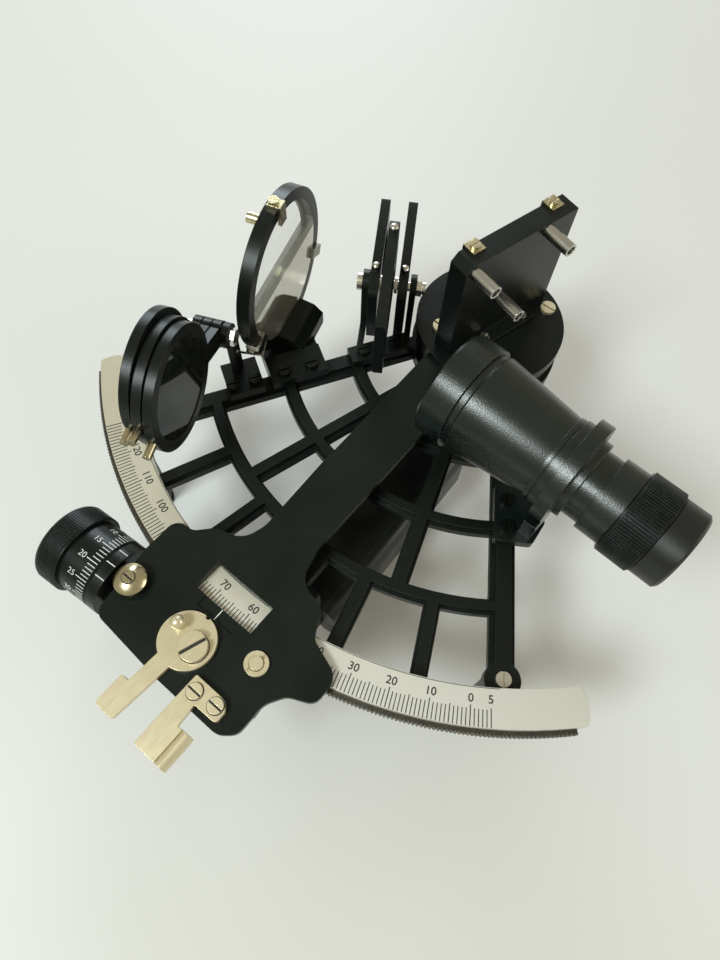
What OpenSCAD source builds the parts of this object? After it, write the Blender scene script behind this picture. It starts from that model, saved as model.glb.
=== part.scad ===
// Marine micrometer sextant, lying on its three legs, sight line along X.
// Origin: on the index arm's pivot axis, in the plane the legs stand on. Millimetres, +Z up.

/* [Frame] */
// Height of the legs, from the table to the underside of the frame
leg_h = 60; // [54:1:75]
// Thickness of the frame casting
frame_t = 6; // [5:0.5:9]
// Thickness of the web under each frame bar's rib
web_t = 3.4; // [2:0.2:4.5]
// Radius of the hub disc
hub_r = 31.5; // [31:0.5:34]
// Angle of the edge bars from the frame's centre line
edge_angle = 32.2; // [30:0.2:34]
// Distance of an edge bar's centre line from the pivot
edge_offset = 9.8; // [9:0.2:11]
// Width of an edge bar
edge_w = 9.5; // [8:0.5:10]
// Width of a cross rib
rib_w = 6; // [4:0.2:7]
// Outer radii of the three cross ribs
rib_r1 = 59.5; // [56:0.5:62]
rib_r2 = 90; // [86:0.5:94]
rib_r3 = 121.5; // [118:0.5:124]
// Width of an upper spoke
spoke_w = 7; // [5:0.5:8]
// Angle of the outer upper spokes from the centre line
spoke_angle = 18; // [16:0.5:20]
// Width of a lower spoke
lower_spoke_w = 6.3; // [5:0.1:8]
// Angle between the lower spokes
lower_spoke_angle = 12.35; // [12:0.05:13]
// Width of the middle pad that carries the handle
pad_w = 20; // [16:1:22]
// Radius of a leg
leg_r = 5.2; // [4.6:0.2:5.8]
// Distance from the limb's edge to the leg, along the edge bar
leg_setback = 17.2; // [16:0.2:20]

/* [Limb] */
// Radius of the limb's outer edge
limb_r = 162; // [160:0.5:170]
// Width of the limb's silver face
limb_w = 13; // [11:0.5:13]
// Thickness of the limb
limb_t = 9; // [7:0.5:11]
// Half the angle that the limb spans
limb_half = 45.2; // [44:0.2:46]
// Depth of the rack's band outside the limb's edge
rack_w = 2; // [1.5:0.1:3]
// Height of the rack's band
rack_h = 5.6; // [4:0.2:6]
// Depth of a rack tooth
tooth_h = 0.7; // [0.4:0.1:1]
// Direction of the scale's zero, from +X
zero_angle = -58.75; // [-60:0.05:-57]
// Reading at which the arm is drawn, in degrees of scale
reading = 65.3; // [60:0.1:70]

/* [Index arm] */
// Gap between the limb and the arm
arm_gap = 0.5; // [0.3:0.1:1]
// Thickness of the arm's plate
arm_t = 3; // [2.4:0.2:4]
// Width of the arm's strip
arm_w = 21.4; // [18:0.2:22]
// Radius of the arm's head
disc_r = 31; // [29:0.5:31]
// Thickness of the disc on the arm's head
disc_t = 2; // [1.5:0.5:4]
// Radius of the pivot shaft
shaft_r = 6; // [5:0.5:7]
// Wall of the pivot bush
bush_wall = 3; // [2:0.5:4]
// Width of the reading window
window_w = 26; // [22:1:30]
// Width across the mark's notch under the window
notch_w = 16; // [12:1:20]
// Depth of the mark's notch, toward the arm's end
notch_d = 4.5; // [3:0.5:5]

/* [Index mirror] */
// Width of the mirror's housing
mirror_w = 52.5; // [46:0.5:52.5]
// Height of the mirror's housing
mirror_h = 49; // [46:1:52]
// Thickness of the mirror's housing
mirror_t = 8.7; // [7:0.1:9]
// How far the mirror's face lies in front of the pivot axis
mirror_lead = 4.6; // [3:0.2:5]
// Rim of the housing round the mirror glass
mirror_rim = 3.5; // [2.5:0.5:5]
// Thickness of the mirror glass
glass_t = 3.2; // [2.5:0.1:4]

/* [Telescope] */
// Height of the sight line over the limb
sight_h = 24.6; // [24.6:0.1:27]
// Distance of the telescope's front from the frame's middle plane
sight_y = 48.6; // [48:0.1:50]
// Angle of the telescope to X, toward the eye
sight_turn = -4; // [-5:0.5:0]
// Start of the telescope, from the pivot
scope_x = 9.4; // [9:0.1:12]
// Radius of the objective cell
cell_r = 20.6; // [19.6:0.1:20.6]
// Length of the objective cell
cell_l = 11.6; // [10:0.2:14]
// Length of the main tube's taper
tube_l = 31.5; // [30:0.5:36]
// Radius of the main tube at its wide end
tube_r1 = 19.8; // [18:0.2:20]
// Radius of the main tube at its narrow end
tube_r2 = 16.4; // [16:0.1:17.4]
// Radius of the tube where its collar holds it
seat_r = 16; // [15:0.2:16]
// Width of the collar
collar_w = 5.2; // [4:0.2:7]
// Radius of the collar
collar_r = 20.3; // [19:0.1:20.5]
// Radius of the neck
neck_r = 13; // [12.6:0.2:13.6]
// Radius of the ring behind the neck
eye_ring_r = 14.5; // [14:0.1:15]
// Radius of the focusing ring
focus_r = 16.2; // [15.6:0.1:18]
// Length of the focusing ring
focus_l = 13.1; // [11:0.1:14]
// Radius of the eyepiece's rim
eye_r = 15.1; // [14.5:0.1:17]
// Length of the eyepiece's rim
eye_l = 9.6; // [7:0.2:12]
// Wall of the telescope's tubes
tube_wall = 1.8; // [1.2:0.1:2.2]

/* [Horizon mirror] */
// Distance of the horizon mirror from the pivot, against the sight line
horizon_x = 73.4; // [72:0.2:76]
// Distance of the horizon mirror's middle from the frame's middle plane
horizon_y = 47.5; // [46:0.5:49]
// Outer radius of the horizon mirror's ring
ring_r = 32.4; // [31.4:0.2:33]
// Width of the ring's rim
ring_w = 4.5; // [3.5:0.5:5]
// Thickness of the ring
ring_t = 5.2; // [5:0.1:6.5]

/* [Shades] */
// Angle of the index shades' hinge pin, from X
index_pin_angle = 30.7; // [29:0.1:32.7]
// Thickness of an index shade
shade_t = 4; // [3:0.1:4.2]
// Spacing of the index shades
shade_pitch = 5.9; // [5.6:0.05:6]
// Length of an index shade
shade_l = 49; // [44:0.5:52]
// Height of an index shade
shade_h = 33; // [28:0.5:34]
// Radius of the shades' hinge pins
pin_r = 2; // [1.6:0.1:2.4]
// Radius of a horizon shade
disc_shade_r = 22.9; // [21:0.1:23.5]
// Thickness of a horizon shade
disc_shade_t = 3.4; // [3:0.1:3.5]
// Distance from the horizon shades' pin to a shade's centre
disc_arm = 36.4; // [35:0.1:37]
// Angle of the horizon shades' pin, from X
horizon_pin_angle = 23; // [20:0.5:26]

/* [Micrometer] */
// Radius of the micrometer's knob
knob_r = 15.4; // [14.5:0.1:17]
// Length of the knob
knob_l = 10.5; // [9:0.1:12]
// Radius of the graduated drum
drum_r = 13.9; // [12:0.1:14.5]
// Length of the graduated drum
drum_l = 13.4; // [11:0.2:14]
// Radius of the index collar beside the drum
index_collar_r = 13.9; // [12:0.1:14.2]
// Length of the index collar
index_collar_l = 4.3; // [3.5:0.1:5]
// Radius of the worm
worm_r = 6.6; // [6:0.1:6.8]
// Length of the worm
worm_l = 20; // [18:1:22]
// Radius of the worm's shaft
worm_shaft_r = 2; // [1.6:0.1:2.2]
// Angle of the worm's axis to the arm
worm_turn = 4.4; // [3:0.2:6]

/* [Handle] */
// Width of the grip
grip_w = 31; // [26:1:34]
// Height of the grip
grip_h = 30; // [24:1:32]
// Length of the grip
grip_l = 94; // [88:1:98]
// Finger room between the grip and the frame
finger_gap = 22; // [20:1:24]
// Distance of the grip's middle from the frame's centre line
grip_x = 6; // [4:0.5:8]

/* [Hidden] */
$fn = 64;

// Clearances: a seat within one body, a running fit, and free air between moving pieces
seat_gap = 0.05;
run_gap = 0.05;
air_gap = 0.3;
// Overlap that makes cuts and unions clean
eps = 0.5;

// Heights
frame_top = leg_h + frame_t;
limb_top = frame_top + limb_t;
arm_z = limb_top + arm_gap;
arm_top = arm_z + arm_t;
disc_top = arm_top + disc_t;
sight_z = limb_top + sight_h;

// Directions of the light: the horizon mirror halves the turn between the two sight lines
light_turn = atan(horizon_y / horizon_x);
ring_turn = light_turn / 2;
arm_turn = 90 + zero_angle - reading / 2;
mirror_turn = ring_turn - zero_angle;

// Limb and rack
limb_in = limb_r - limb_w;
rack_r = limb_r + rack_w;
seat_in = limb_in;
seat_out = limb_r - 2;
leg_q = sqrt(pow(limb_r, 2) - pow(edge_offset, 2)) - leg_setback;
tooth_pitch = 0.5;
limb_screw_r = (limb_in + seat_out) / 2;
limb_screw_angles = [-40, -18.5, 0, 18.5, 40];

// Screws: head and shank radii and head height of the three kinds
screw_head_r = 2.75;
screw_head_h = 2;
screw_r = 1.5;
small_head_r = 2;
small_head_h = 1.2;
small_r = 1;

// Worm's axis: its distance from the pivot, and its height under the arm's plate
worm_gap = 0.7;
worm_dist = rack_r + worm_gap + worm_r;
worm_z = arm_z - 6;
collar_end = -49.8;
drum_end = collar_end - index_collar_l - air_gap;
knob_end = drum_end - drum_l;
carriage_pin_x = -43.55;
carriage_pin_y = 1.15;
carriage_pin_r = 2.5;
block_l = 9;
far_block_l = 6;
block_right = 16.6;
block_out = -9.4;
block_in = 5.5;
wall_t = 2;
carriage_top = arm_z - air_gap;
carriage_low = worm_z - 5;

// Release lever, in the arm's own frame
lever_x = 2.5;
lever_back = 13.5;
lever_z = arm_top + air_gap;
lever_t = 2;
post_x = lever_x - 9.1;
post_back = lever_back - 2.5;
post_r = 1.8;
post_low = arm_z - 2.4;

// Index shades: hinge pin and first shade's place in their own frame
index_pin_t = 4.7;
index_pin_z = limb_top + 14.9;
index_shade_s = -49.9;
shade_end_gap = 9.3;
shade_side_gap = 4.9;
stow_tilt = 5.7;
use_tilt = 185;

// Horizon shades: hinge pin's foot, first shade's place and the steps to the others
horizon_pin_x = -75.1;
horizon_pin_y = -83.9;
horizon_pin_z = limb_top + 20;
disc_pitch = disc_shade_t + 0.45;
disc_steps = [1.1 - 2 * disc_pitch, 1.1 - disc_pitch, 1.1];
disc_tilts = [154, 158, 160];
disc_knob_angles = [28, 12, 22];

function polar(r, a) = [r * cos(a), r * sin(a)];

// Points of an outline whose corners [x, y, radius] are rounded with arcs
function unit(v) = v / norm(v);
function corner_arc(a, b, c, r, n = 5) =
    let (u = unit(a - b), w = unit(c - b), half = acos(u * w) / 2,
        back = r / tan(half), start = b + u * back, end = b + w * back,
        mid = b + unit(u + w) * r / sin(half),
        t0 = atan2(start[1] - mid[1], start[0] - mid[0]),
        t1 = atan2(end[1] - mid[1], end[0] - mid[0]),
        turn = t1 - t0 > 180 ? t1 - t0 - 360 : t1 - t0 < -180 ? t1 - t0 + 360 : t1 - t0)
    [for (i = [0:n]) mid + polar(r, t0 + turn * i / n)];
function xy(p) = [p[0], p[1]];
function rounded(points) = let (n = len(points))
    [for (i = [0:n - 1]) let (p = points[i])
        each (p[2] == 0 ? [xy(p)] :
            corner_arc(xy(points[(i + n - 1) % n]), xy(p), xy(points[(i + 1) % n]), p[2]))];

module sector(r1, r2, a1, a2, h)
    rotate([0, 0, a1]) rotate_extrude(angle = a2 - a1, $fn = 180)
        translate([r1, 0]) square([r2 - r1, h]);

module tube(r, hole, h) difference() {
    cylinder(r = r, h = h);
    translate([0, 0, -eps]) cylinder(r = hole, h = h + 2 * eps);
}

// A round head with a screwdriver's slot, its shank below z = 0
module screw(head_r, head_h, shank_r, shank_l, slot_w = 0.8) {
    difference() {
        cylinder(r = head_r, h = head_h);
        translate([-head_r - eps, -slot_w / 2, head_h * 0.55])
            cube([2 * head_r + 2 * eps, slot_w, head_h]);
    }
    translate([0, 0, -shank_l]) cylinder(r = shank_r, h = shank_l);
}

module frame_screw(l) screw(screw_head_r, screw_head_h, screw_r, l);
module small_screw(l) screw(small_head_r, small_head_h, small_r, l, 0.6);
module screw_hole(l, r = screw_r) translate([0, 0, -l]) cylinder(r = r + seat_gap, h = l + eps);

module in_arm() rotate([0, 0, arm_turn]) children();
module at_worm() in_arm() rotate([0, 0, worm_turn]) translate([0, -worm_dist, worm_z]) children();
module along_worm(x) at_worm() translate([x, 0, 0]) rotate([0, 90, 0]) children();
module at_bar(side) rotate([0, 0, -90 + side * edge_angle]) children();
module on_bar(side, q, off, z) at_bar(side) translate([q, side * off, z]) children();
module at_sight(x) translate([scope_x, -sight_y, sight_z]) rotate([0, 0, sight_turn])
    translate([x - scope_x, 0, 0]) rotate([0, 90, 0]) children();
module at_ring() translate([-horizon_x, -horizon_y, sight_z]) rotate([0, 0, ring_turn]) children();
module at_mirror() in_arm() rotate([0, 0, mirror_turn]) translate([0, 0, disc_top]) children();

// Frame casting: plans of its bars at a share of their width, and of its solid parts
rib_share = 0.62;
edge_start = 24;

function edge_reach(r) = edge_angle + asin(edge_offset / r);

module sector_plan(r1, r2, half) intersection() {
    difference() {
        circle(r = r2);
        circle(r = r1);
    }
    polygon([[0, 0], polar(3 * r2, -90 - half), polar(3 * r2, -90), polar(3 * r2, -90 + half)]);
}

module bar_plan(angle, r1, r2, w, off = 0)
    rotate([0, 0, -90 + angle]) translate([r1, off - w / 2]) square([r2 - r1, w]);

module frame_plan(share) {
    for (r = [rib_r1, rib_r2, rib_r3]) {
        side = rib_w * (1 - share) / 2;
        sector_plan(r - rib_w + side, r - side, edge_reach(r - rib_w / 2));
    }
    for (a = [-spoke_angle, 0, spoke_angle])
        bar_plan(a, hub_r - 2, rib_r3 - rib_w / 2, spoke_w * share);
    for (k = [-2, -1, 1, 2])
        bar_plan(k * lower_spoke_angle, rib_r3 - rib_w / 2, seat_in + 2, lower_spoke_w * share);
    for (side = [-1, 1])
        bar_plan(side * edge_angle, edge_start, leg_q + leg_boss_r, edge_w * share, side * edge_offset);
}

module solid_plan() {
    circle(r = hub_r);
    translate([-pad_w / 2, -seat_in - 2]) square([pad_w, seat_in + 2 - rib_r3 + rib_w / 2]);
    sector_plan(seat_in, seat_out, limb_half - 1);
    rotate([0, 0, -90 + edge_angle]) translate([leg_q, edge_offset]) circle(r = leg_boss_r);
}

hub_boss_r = 29.5;
hub_boss_top = arm_z - air_gap;
bush_r = shaft_r + bush_wall;
bush_low = leg_h - 10;
sleeve_r = bush_r + 4;
leg_boss_r = 6.5;
left_leg_r = limb_r - 5;
left_leg_angle = -124.5;
stud_l = 4;
bracket_screw_spots = [[-1, 38.5, 9.3], [-1, 53, 9.3], [-1, 76, 10], [-1, 88, 10],
    [-1, 100.5, 10], [-1, 110, 10], [1, 78, 9.6], [1, 89, 9.6]];
handle_screw_x = 5;
handle_foot_xs = [0.5, 7.3];

module frame_casting() color([0.05, 0.08, 0.07]) difference() {
    union() {
        translate([0, 0, leg_h]) linear_extrude(web_t) frame_plan(1);
        translate([0, 0, leg_h]) linear_extrude(frame_t) {
            frame_plan(rib_share);
            solid_plan();
        }
        translate([0, 0, leg_h]) cylinder(r = hub_boss_r, h = hub_boss_top - leg_h, $fn = 120);
    }
    translate([0, 0, bush_low - eps]) cylinder(r = bush_r, h = hub_boss_top);
    on_bar(1, leg_q, edge_offset, frame_top) screw_hole(frame_t + eps);
    at_left_leg(leg_h + stud_l) screw_hole(stud_l + eps, leg_stud_r);
    for (a = limb_screw_angles) rotate([0, 0, -90 + a]) translate([limb_screw_r, 0, frame_top])
        screw_hole(frame_t + eps);
    for (s = bracket_screw_spots) on_bar(s[0], s[1], s[2], frame_top) screw_hole(frame_t + eps);
    for (y = [handle_top_y, handle_low_y]) for (x = handle_foot_xs)
        translate([x, y, leg_h + 4]) screw_hole(4 + eps);
}

module limb_arc() color([0.78, 0.76, 0.70]) difference() {
    translate([0, 0, frame_top]) intersection() {
        sector(limb_in, limb_r, -91.5 - limb_half, -88.5 + limb_half, limb_t);
        linear_extrude(limb_t) limb_outline();
    }
    for (a = limb_screw_angles) rotate([0, 0, -90 + a]) translate([limb_screw_r, 0, frame_top + 5])
        screw_hole(5 + eps);
}

// Plan of the limb: each end bulges outward a little and has rounded corners
limb_bulge = 1;
function corner(r, a, fillet) = concat(polar(r, a), [fillet]);
module limb_outline() {
    half = limb_half;
    reach = limb_r / cos(half) + 10;
    polygon(rounded([
        corner(limb_in, -90 - half, 1.5), corner(limb_in + limb_w / 2, -90 - half - limb_bulge, 12),
        corner(limb_r, -90 - half, 2), [0, -reach, 0],
        corner(limb_r, -90 + half, 2), corner(limb_in + limb_w / 2, -90 + half + limb_bulge, 12),
        corner(limb_in, -90 + half, 1.5), [0, -limb_in * 0.6, 0]]));
}

rack_half = limb_half - 1;
module limb_rack() color([0.12, 0.12, 0.12]) translate([0, 0, frame_top]) difference() {
    linear_extrude(rack_h) polygon(concat(
        [for (i = [0:2 * rack_half / tooth_pitch])
            each [polar(rack_r - tooth_h, -90 - rack_half + i * tooth_pitch),
                polar(rack_r, -90 - rack_half + (i + 0.5) * tooth_pitch)]],
        [polar(limb_in, -90 + rack_half), [0, -limb_in * 0.7], polar(limb_in, -90 - rack_half)]));
    translate([0, 0, -eps]) cylinder(r = limb_r + seat_gap, h = rack_h + 2 * eps, $fn = 720);
}

// The pivot's bush goes up through the hub; its sleeve bears against the frame from below
module pivot_bush() color([0.72, 0.58, 0.30]) translate([0, 0, bush_low]) difference() {
    union() {
        cylinder(r = bush_r - seat_gap, h = hub_boss_top - bush_low);
        cylinder(r = sleeve_r, h = leg_h - bush_low - seat_gap);
    }
    translate([0, 0, -eps]) cylinder(r = shaft_r + run_gap, h = hub_boss_top - bush_low + 2 * eps);
}

pivot_leg_r = sleeve_r + 3;
cavity_low = leg_h - 20;
module pivot_leg() color([0.05, 0.05, 0.05]) difference() {
    union() {
        cylinder(r = leg_r + 0.4, h = 2.5);
        cylinder(r = leg_r, h = cavity_low);
        translate([0, 0, cavity_low - 8]) cylinder(r1 = leg_r, r2 = pivot_leg_r, h = 6);
        translate([0, 0, cavity_low - 2]) cylinder(r = pivot_leg_r, h = leg_h - cavity_low + 2);
    }
    translate([0, 0, cavity_low]) cylinder(r = sleeve_r + seat_gap, h = leg_h);
}

leg_stud_r = 2.5;
module at_left_leg(z) rotate([0, 0, left_leg_angle]) translate([left_leg_r, 0, z]) children();
module leg() {
    cylinder(r = leg_r + 0.4, h = 2.5);
    cylinder(r = leg_r, h = leg_h);
}
module arc_legs() color([0.05, 0.05, 0.05]) {
    on_bar(1, leg_q, edge_offset, 0) difference() {
        leg();
        translate([0, 0, leg_h]) screw_hole(8);
    }
    at_left_leg(0) {
        leg();
        cylinder(r = leg_stud_r, h = leg_h + stud_l - seat_gap);
    }
}

grip_top = leg_h - finger_gap;
grip_low = grip_top - grip_h;
handle_foot_l = 13;
handle_plate_t = 6;
handle_plate_w = 18;
handle_top_y = -25;
grip_y = handle_top_y - handle_foot_l / 2 - handle_plate_t - seat_gap;
handle_low_y = grip_y - grip_l - handle_plate_t - handle_foot_l / 2 - seat_gap;
handle_foot_t = 4;
grip_corner = 7;

module grip_section() {
    for (sx = [-1, 1]) for (sy = [-1, 1])
        translate([sx * (grip_w / 2 - grip_corner), sy * (grip_h / 2 - grip_corner)])
            circle(r = grip_corner);
    square([grip_w - 2 * grip_corner, grip_h], center = true);
    square([grip_w, grip_h - 2 * grip_corner], center = true);
}

module grip_screw_places() for (x = [-handle_screw_x, handle_screw_x])
    translate([grip_x + x, 0, grip_top - grip_h * 0.35]) children();

module handle_grip() color([0.04, 0.04, 0.04]) difference() {
    translate([grip_x, grip_y, grip_low + grip_h / 2]) rotate([90, 0, 0])
        linear_extrude(grip_l) grip_section();
    translate([0, grip_y, 0]) grip_screw_places() rotate([-90, 0, 0]) screw_hole(10);
    translate([0, grip_y - grip_l, 0]) grip_screw_places() rotate([90, 0, 0]) screw_hole(10);
}

// One handle bracket: an upright plate against the grip's end and a foot under the frame
module handle_bracket(y, foot_dir) {
    plate_y = foot_dir > 0 ? y : y - handle_plate_t;
    foot_y = foot_dir > 0 ? y : y - handle_foot_l - handle_plate_t;
    difference() {
        union() {
            translate([grip_x - handle_plate_w / 2, plate_y, grip_low + grip_h * 0.35])
                cube([handle_plate_w, handle_plate_t, leg_h - grip_low - grip_h * 0.35]);
            translate([grip_x - handle_plate_w / 2, foot_y, leg_h - handle_foot_t])
                cube([handle_plate_w, handle_foot_l + handle_plate_t, handle_foot_t]);
        }
        translate([0, plate_y + handle_plate_t / 2, 0]) grip_screw_places() rotate([90, 0, 0])
            translate([0, 0, -handle_plate_t]) cylinder(r = screw_r + seat_gap, h = 2 * handle_plate_t);
    }
}

module handle_brackets() color([0.05, 0.05, 0.05]) difference() {
    union() {
        handle_bracket(grip_y + seat_gap, 1);
        handle_bracket(grip_y - grip_l - seat_gap, -1);
    }
    for (y = [handle_top_y, handle_low_y]) for (x = handle_foot_xs)
        translate([x, y, leg_h]) screw_hole(handle_foot_t + eps);
}

base_t = 4;
module frame_screws() color([0.75, 0.75, 0.72]) {
    on_bar(1, leg_q, edge_offset, frame_top) frame_screw(frame_t + 7);
    for (a = limb_screw_angles) rotate([0, 0, -90 + a]) translate([limb_screw_r, 0, leg_h])
        rotate([180, 0, 0]) frame_screw(frame_t + 4.5);
    for (s = bracket_screw_spots) on_bar(s[0], s[1], s[2], frame_top + base_t)
        frame_screw(base_t + frame_t - 1);
    for (y = [handle_top_y, handle_low_y]) for (x = handle_foot_xs)
        translate([x, y, leg_h - handle_foot_t]) rotate([180, 0, 0])
            frame_screw(handle_foot_t + 3.5);
    translate([0, grip_y + seat_gap + handle_plate_t, 0]) grip_screw_places()
        rotate([-90, 0, 0]) frame_screw(handle_plate_t + 9);
    translate([0, grip_y - grip_l - seat_gap - handle_plate_t, 0]) grip_screw_places()
        rotate([90, 0, 0]) frame_screw(handle_plate_t + 9);
}

// Telescope. Stations along the sight line, from the objective to the eye
cell_end = scope_x + cell_l;
taper_x = cell_end + 3;
taper_end = taper_x + tube_l;
collar_x = taper_end + 5.4;
collar_out = collar_x + collar_w;
neck_x = collar_out + 3;
eye_ring_x = neck_x + 6.2;
focus_x = eye_ring_x + 9.3;
eye_x = focus_x + focus_l;
sleeve_out = neck_r - 1;
barrel_r = sleeve_out - tube_wall - run_gap;
lens_x = scope_x + 3;
lens_r = cell_r - 2.6;

// Plan of the telescope bracket's foot, in the right bar's frame: [along the bar, outward, fillet]
scope_foot = [[71, 5.2, 1], [94.4, 5.2, 1], [94.4, 19.6, 1.5], [86, 24.2, 2], [71, 25.5, 2]];
// The post between foot and collar: [across, height over the sight line]
scope_post = [[-16, -29.8], [-16, -20], [-20, -12], [-4, -18], [-5, -29.8]];
module telescope_bracket() color([0.05, 0.05, 0.05]) difference() {
    union() {
        at_sight(collar_x) cylinder(r = collar_r, h = collar_w, $fn = 96);
        at_sight(collar_x) linear_extrude(collar_w) polygon([for (p = scope_post) [-p[1], p[0]]]);
        on_bar(1, 0, 0, frame_top) linear_extrude(base_t) polygon(rounded(scope_foot));
        on_bar(1, 74, edge_offset + edge_w / 2 + seat_gap, leg_h + 1) cube([17, 5, frame_t]);
    }
    at_sight(collar_x - eps) cylinder(r = seat_r + seat_gap, h = collar_w + 2 * eps, $fn = 96);
    for (s = bracket_screw_spots) if (s[0] > 0) on_bar(1, s[1], s[2], frame_top + base_t) {
        screw_hole(base_t + eps);
        cylinder(r = screw_head_r + air_gap, h = 6);
    }
}

// Outline of the tube's wall: [distance along the sight line, outer radius]
tube_outline = [[cell_end - 6, cell_r - 2.2], [cell_end + seat_gap, cell_r - 2.2],
    [cell_end + seat_gap, tube_r1 - 0.6], [taper_x - 0.6, tube_r1 - 0.6], [taper_x, tube_r1],
    [taper_end, tube_r2], [taper_end, tube_r2 + 0.5], [taper_end + 1.6, tube_r2 + 0.5],
    [taper_end + 1.6, tube_r2], [taper_end + 2.2, tube_r2],
    [taper_end + 2.2, tube_r2 + 1], [collar_x - seat_gap, tube_r2 + 1],
    [collar_x - seat_gap, seat_r],
    [collar_out + 0.3, seat_r], [collar_out + 0.3, seat_r - 0.8], [neck_x, seat_r - 0.8],
    [neck_x, neck_r], [eye_ring_x, neck_r], [eye_ring_x, eye_ring_r],
    [focus_x - air_gap, eye_ring_r], [focus_x - air_gap, sleeve_out],
    [eye_x - 0.5, sleeve_out]];
module telescope_tube() color([0.05, 0.06, 0.06]) at_sight(0) rotate_extrude($fn = 96) {
    polygon([for (p = concat(tube_outline,
        [[eye_x - 0.5, sleeve_out - tube_wall], [neck_x - 2, sleeve_out - tube_wall],
        [taper_end, seat_r - tube_wall - 1], [taper_x, tube_r1 - tube_wall - 0.6],
        [cell_end - 6, cell_r - 2.2 - tube_wall]])) [p[1], p[0]]]);
}

module objective_cell() color([0.05, 0.06, 0.06]) at_sight(0) rotate_extrude($fn = 96)
    polygon([for (p = [[scope_x, cell_r - 1], [scope_x + 1, cell_r], [cell_end, cell_r],
        [cell_end, cell_r - 2.2 + seat_gap], [lens_x, cell_r - 2.2 + seat_gap],
        [lens_x, lens_r - 2], [scope_x, lens_r - 2]]) [p[1], p[0]]]);

// A lens with two domed faces, thin at its rim
module lens(r, t, bulge) {
    steps = 8;
    dome = [for (i = [0:steps]) [r * i / steps, bulge * (1 - pow(i / steps, 2))]];
    rotate_extrude($fn = 96) polygon(concat(
        [for (i = [0:steps]) [dome[i][0], -dome[i][1]]],
        [for (i = [steps:-1:0]) [dome[i][0], t + dome[i][1]]]));
}

lens_seat = 0.3;
module objective_lens() color([0.6, 0.7, 0.75, 0.6]) at_sight(lens_x + lens_seat)
    lens(lens_r - seat_gap, 1.8, 1.1);

module focus_ring() color([0.06, 0.06, 0.06]) at_sight(focus_x) difference() {
    ribs = 90;
    plain_end = 0.5;
    union() {
        translate([0, 0, plain_end]) linear_extrude(focus_l - 2 * plain_end - air_gap) polygon([for (i = [0:ribs - 1])
            each [polar(focus_r, i * 360 / ribs), polar(focus_r, (i + 0.45) * 360 / ribs),
                polar(focus_r - 0.6, (i + 0.6) * 360 / ribs),
                polar(focus_r - 0.6, (i + 0.85) * 360 / ribs)]]);
        cylinder(r = focus_r - 0.7, h = focus_l - air_gap, $fn = 96);
    }
    translate([0, 0, -eps]) cylinder(r = sleeve_out + run_gap, h = focus_l + 2 * eps, $fn = 96);
}

barrel_in = 16;
module eyepiece() color([0.04, 0.04, 0.04]) at_sight(0) rotate_extrude($fn = 96)
    polygon([for (p = [[eye_x - barrel_in, barrel_r], [eye_x, barrel_r], [eye_x, eye_r],
        [eye_x + eye_l - 1, eye_r], [eye_x + eye_l, eye_r - 1], [eye_x + eye_l, eye_r - 4],
        [eye_x + eye_l - 3, barrel_r - 1.2], [eye_x - barrel_in, barrel_r - 1.2]])
        [p[1], p[0]]]);

module eye_lens() color([0.6, 0.7, 0.75, 0.6]) at_sight(eye_x + 2)
    lens(barrel_r - 1.2 - seat_gap, 1.6, 0.8);

// Horizon mirror
plate_z = sight_z - ring_r - 0.2;
riser_w = 5;
// Where the bracket's foot lies along the left bar
ring_foot_q = 70;
ring_foot_l = 24;
ring_foot_w = 30;
module horizon_bracket() color([0.05, 0.05, 0.05]) difference() {
    union() {
        on_bar(-1, ring_foot_q, edge_offset + edge_w / 2 + seat_gap, 0) mirror([0, 1, 0])
            translate([0, 0, leg_h]) cube([ring_foot_l, ring_foot_w, plate_z - leg_h]);
        on_bar(-1, ring_foot_q, edge_offset + edge_w / 2 + seat_gap, 0) mirror([0, 1, 0])
            translate([0, 0, leg_h]) cube([ring_foot_l, riser_w, frame_t + base_t]);
        on_bar(-1, ring_foot_q, edge_offset - 4, frame_top) mirror([0, 1, 0])
            cube([ring_foot_l, edge_w / 2 + 4 + riser_w, base_t]);
        at_ring() translate([ring_t / 2 + 0.4, -13, plate_z - sight_z]) rotate([90, 0, 0])
            mirror([0, 0, 1]) linear_extrude(22)
            polygon([[0, -3], [11, -3], [11, 3.4], [7, 7], [0, 8.2]]);
    }
    translate([0, 0, plate_z]) at_ring_foot() screw_hole(8, small_r);
    at_ring() rotate([0, 90, 0]) translate([0, 0, -ring_t]) cylinder(r = ring_r + 0.15, h = ring_t * 1.49);
    for (s = bracket_screw_spots) if (s[0] < 0 && s[1] > 60 && s[1] < 95)
        on_bar(-1, s[1], s[2], frame_top + base_t) screw_hole(base_t + eps);
}

module at_ring_foot() translate([-horizon_x, -horizon_y, 0]) rotate([0, 0, ring_turn])
    for (y = [-7, 7]) translate([0, y, 0]) children();

foot_w = 22;
foot_h = 5;
glass_r = ring_r - ring_w;
horizon_glass_t = 3.6;
module horizon_ring() color([0.05, 0.05, 0.05]) difference() {
    at_ring() union() {
        translate([-ring_t / 2, 0, 0]) rotate([0, 90, 0]) cylinder(r = ring_r, h = ring_t, $fn = 120);
        translate([-ring_t / 2, -foot_w / 2, plate_z - sight_z]) cube([ring_t, foot_w, foot_h]);
    }
    at_ring() translate([-ring_t / 2 - eps, 0, 0]) rotate([0, 90, 0])
        cylinder(r = glass_r - 1.2, h = ring_t + 2 * eps, $fn = 120);
    at_ring() translate([-ring_t / 2 + 1.5, 0, 0]) rotate([0, 90, 0])
        cylinder(r = glass_r, h = ring_t + eps, $fn = 120);
}

module horizon_glass() color([0.8, 0.85, 0.8, 0.5]) at_ring()
    translate([-ring_t / 2 + 1.5 + seat_gap, 0, 0]) rotate([0, 90, 0])
        cylinder(r = glass_r - seat_gap, h = horizon_glass_t, $fn = 120);

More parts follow.
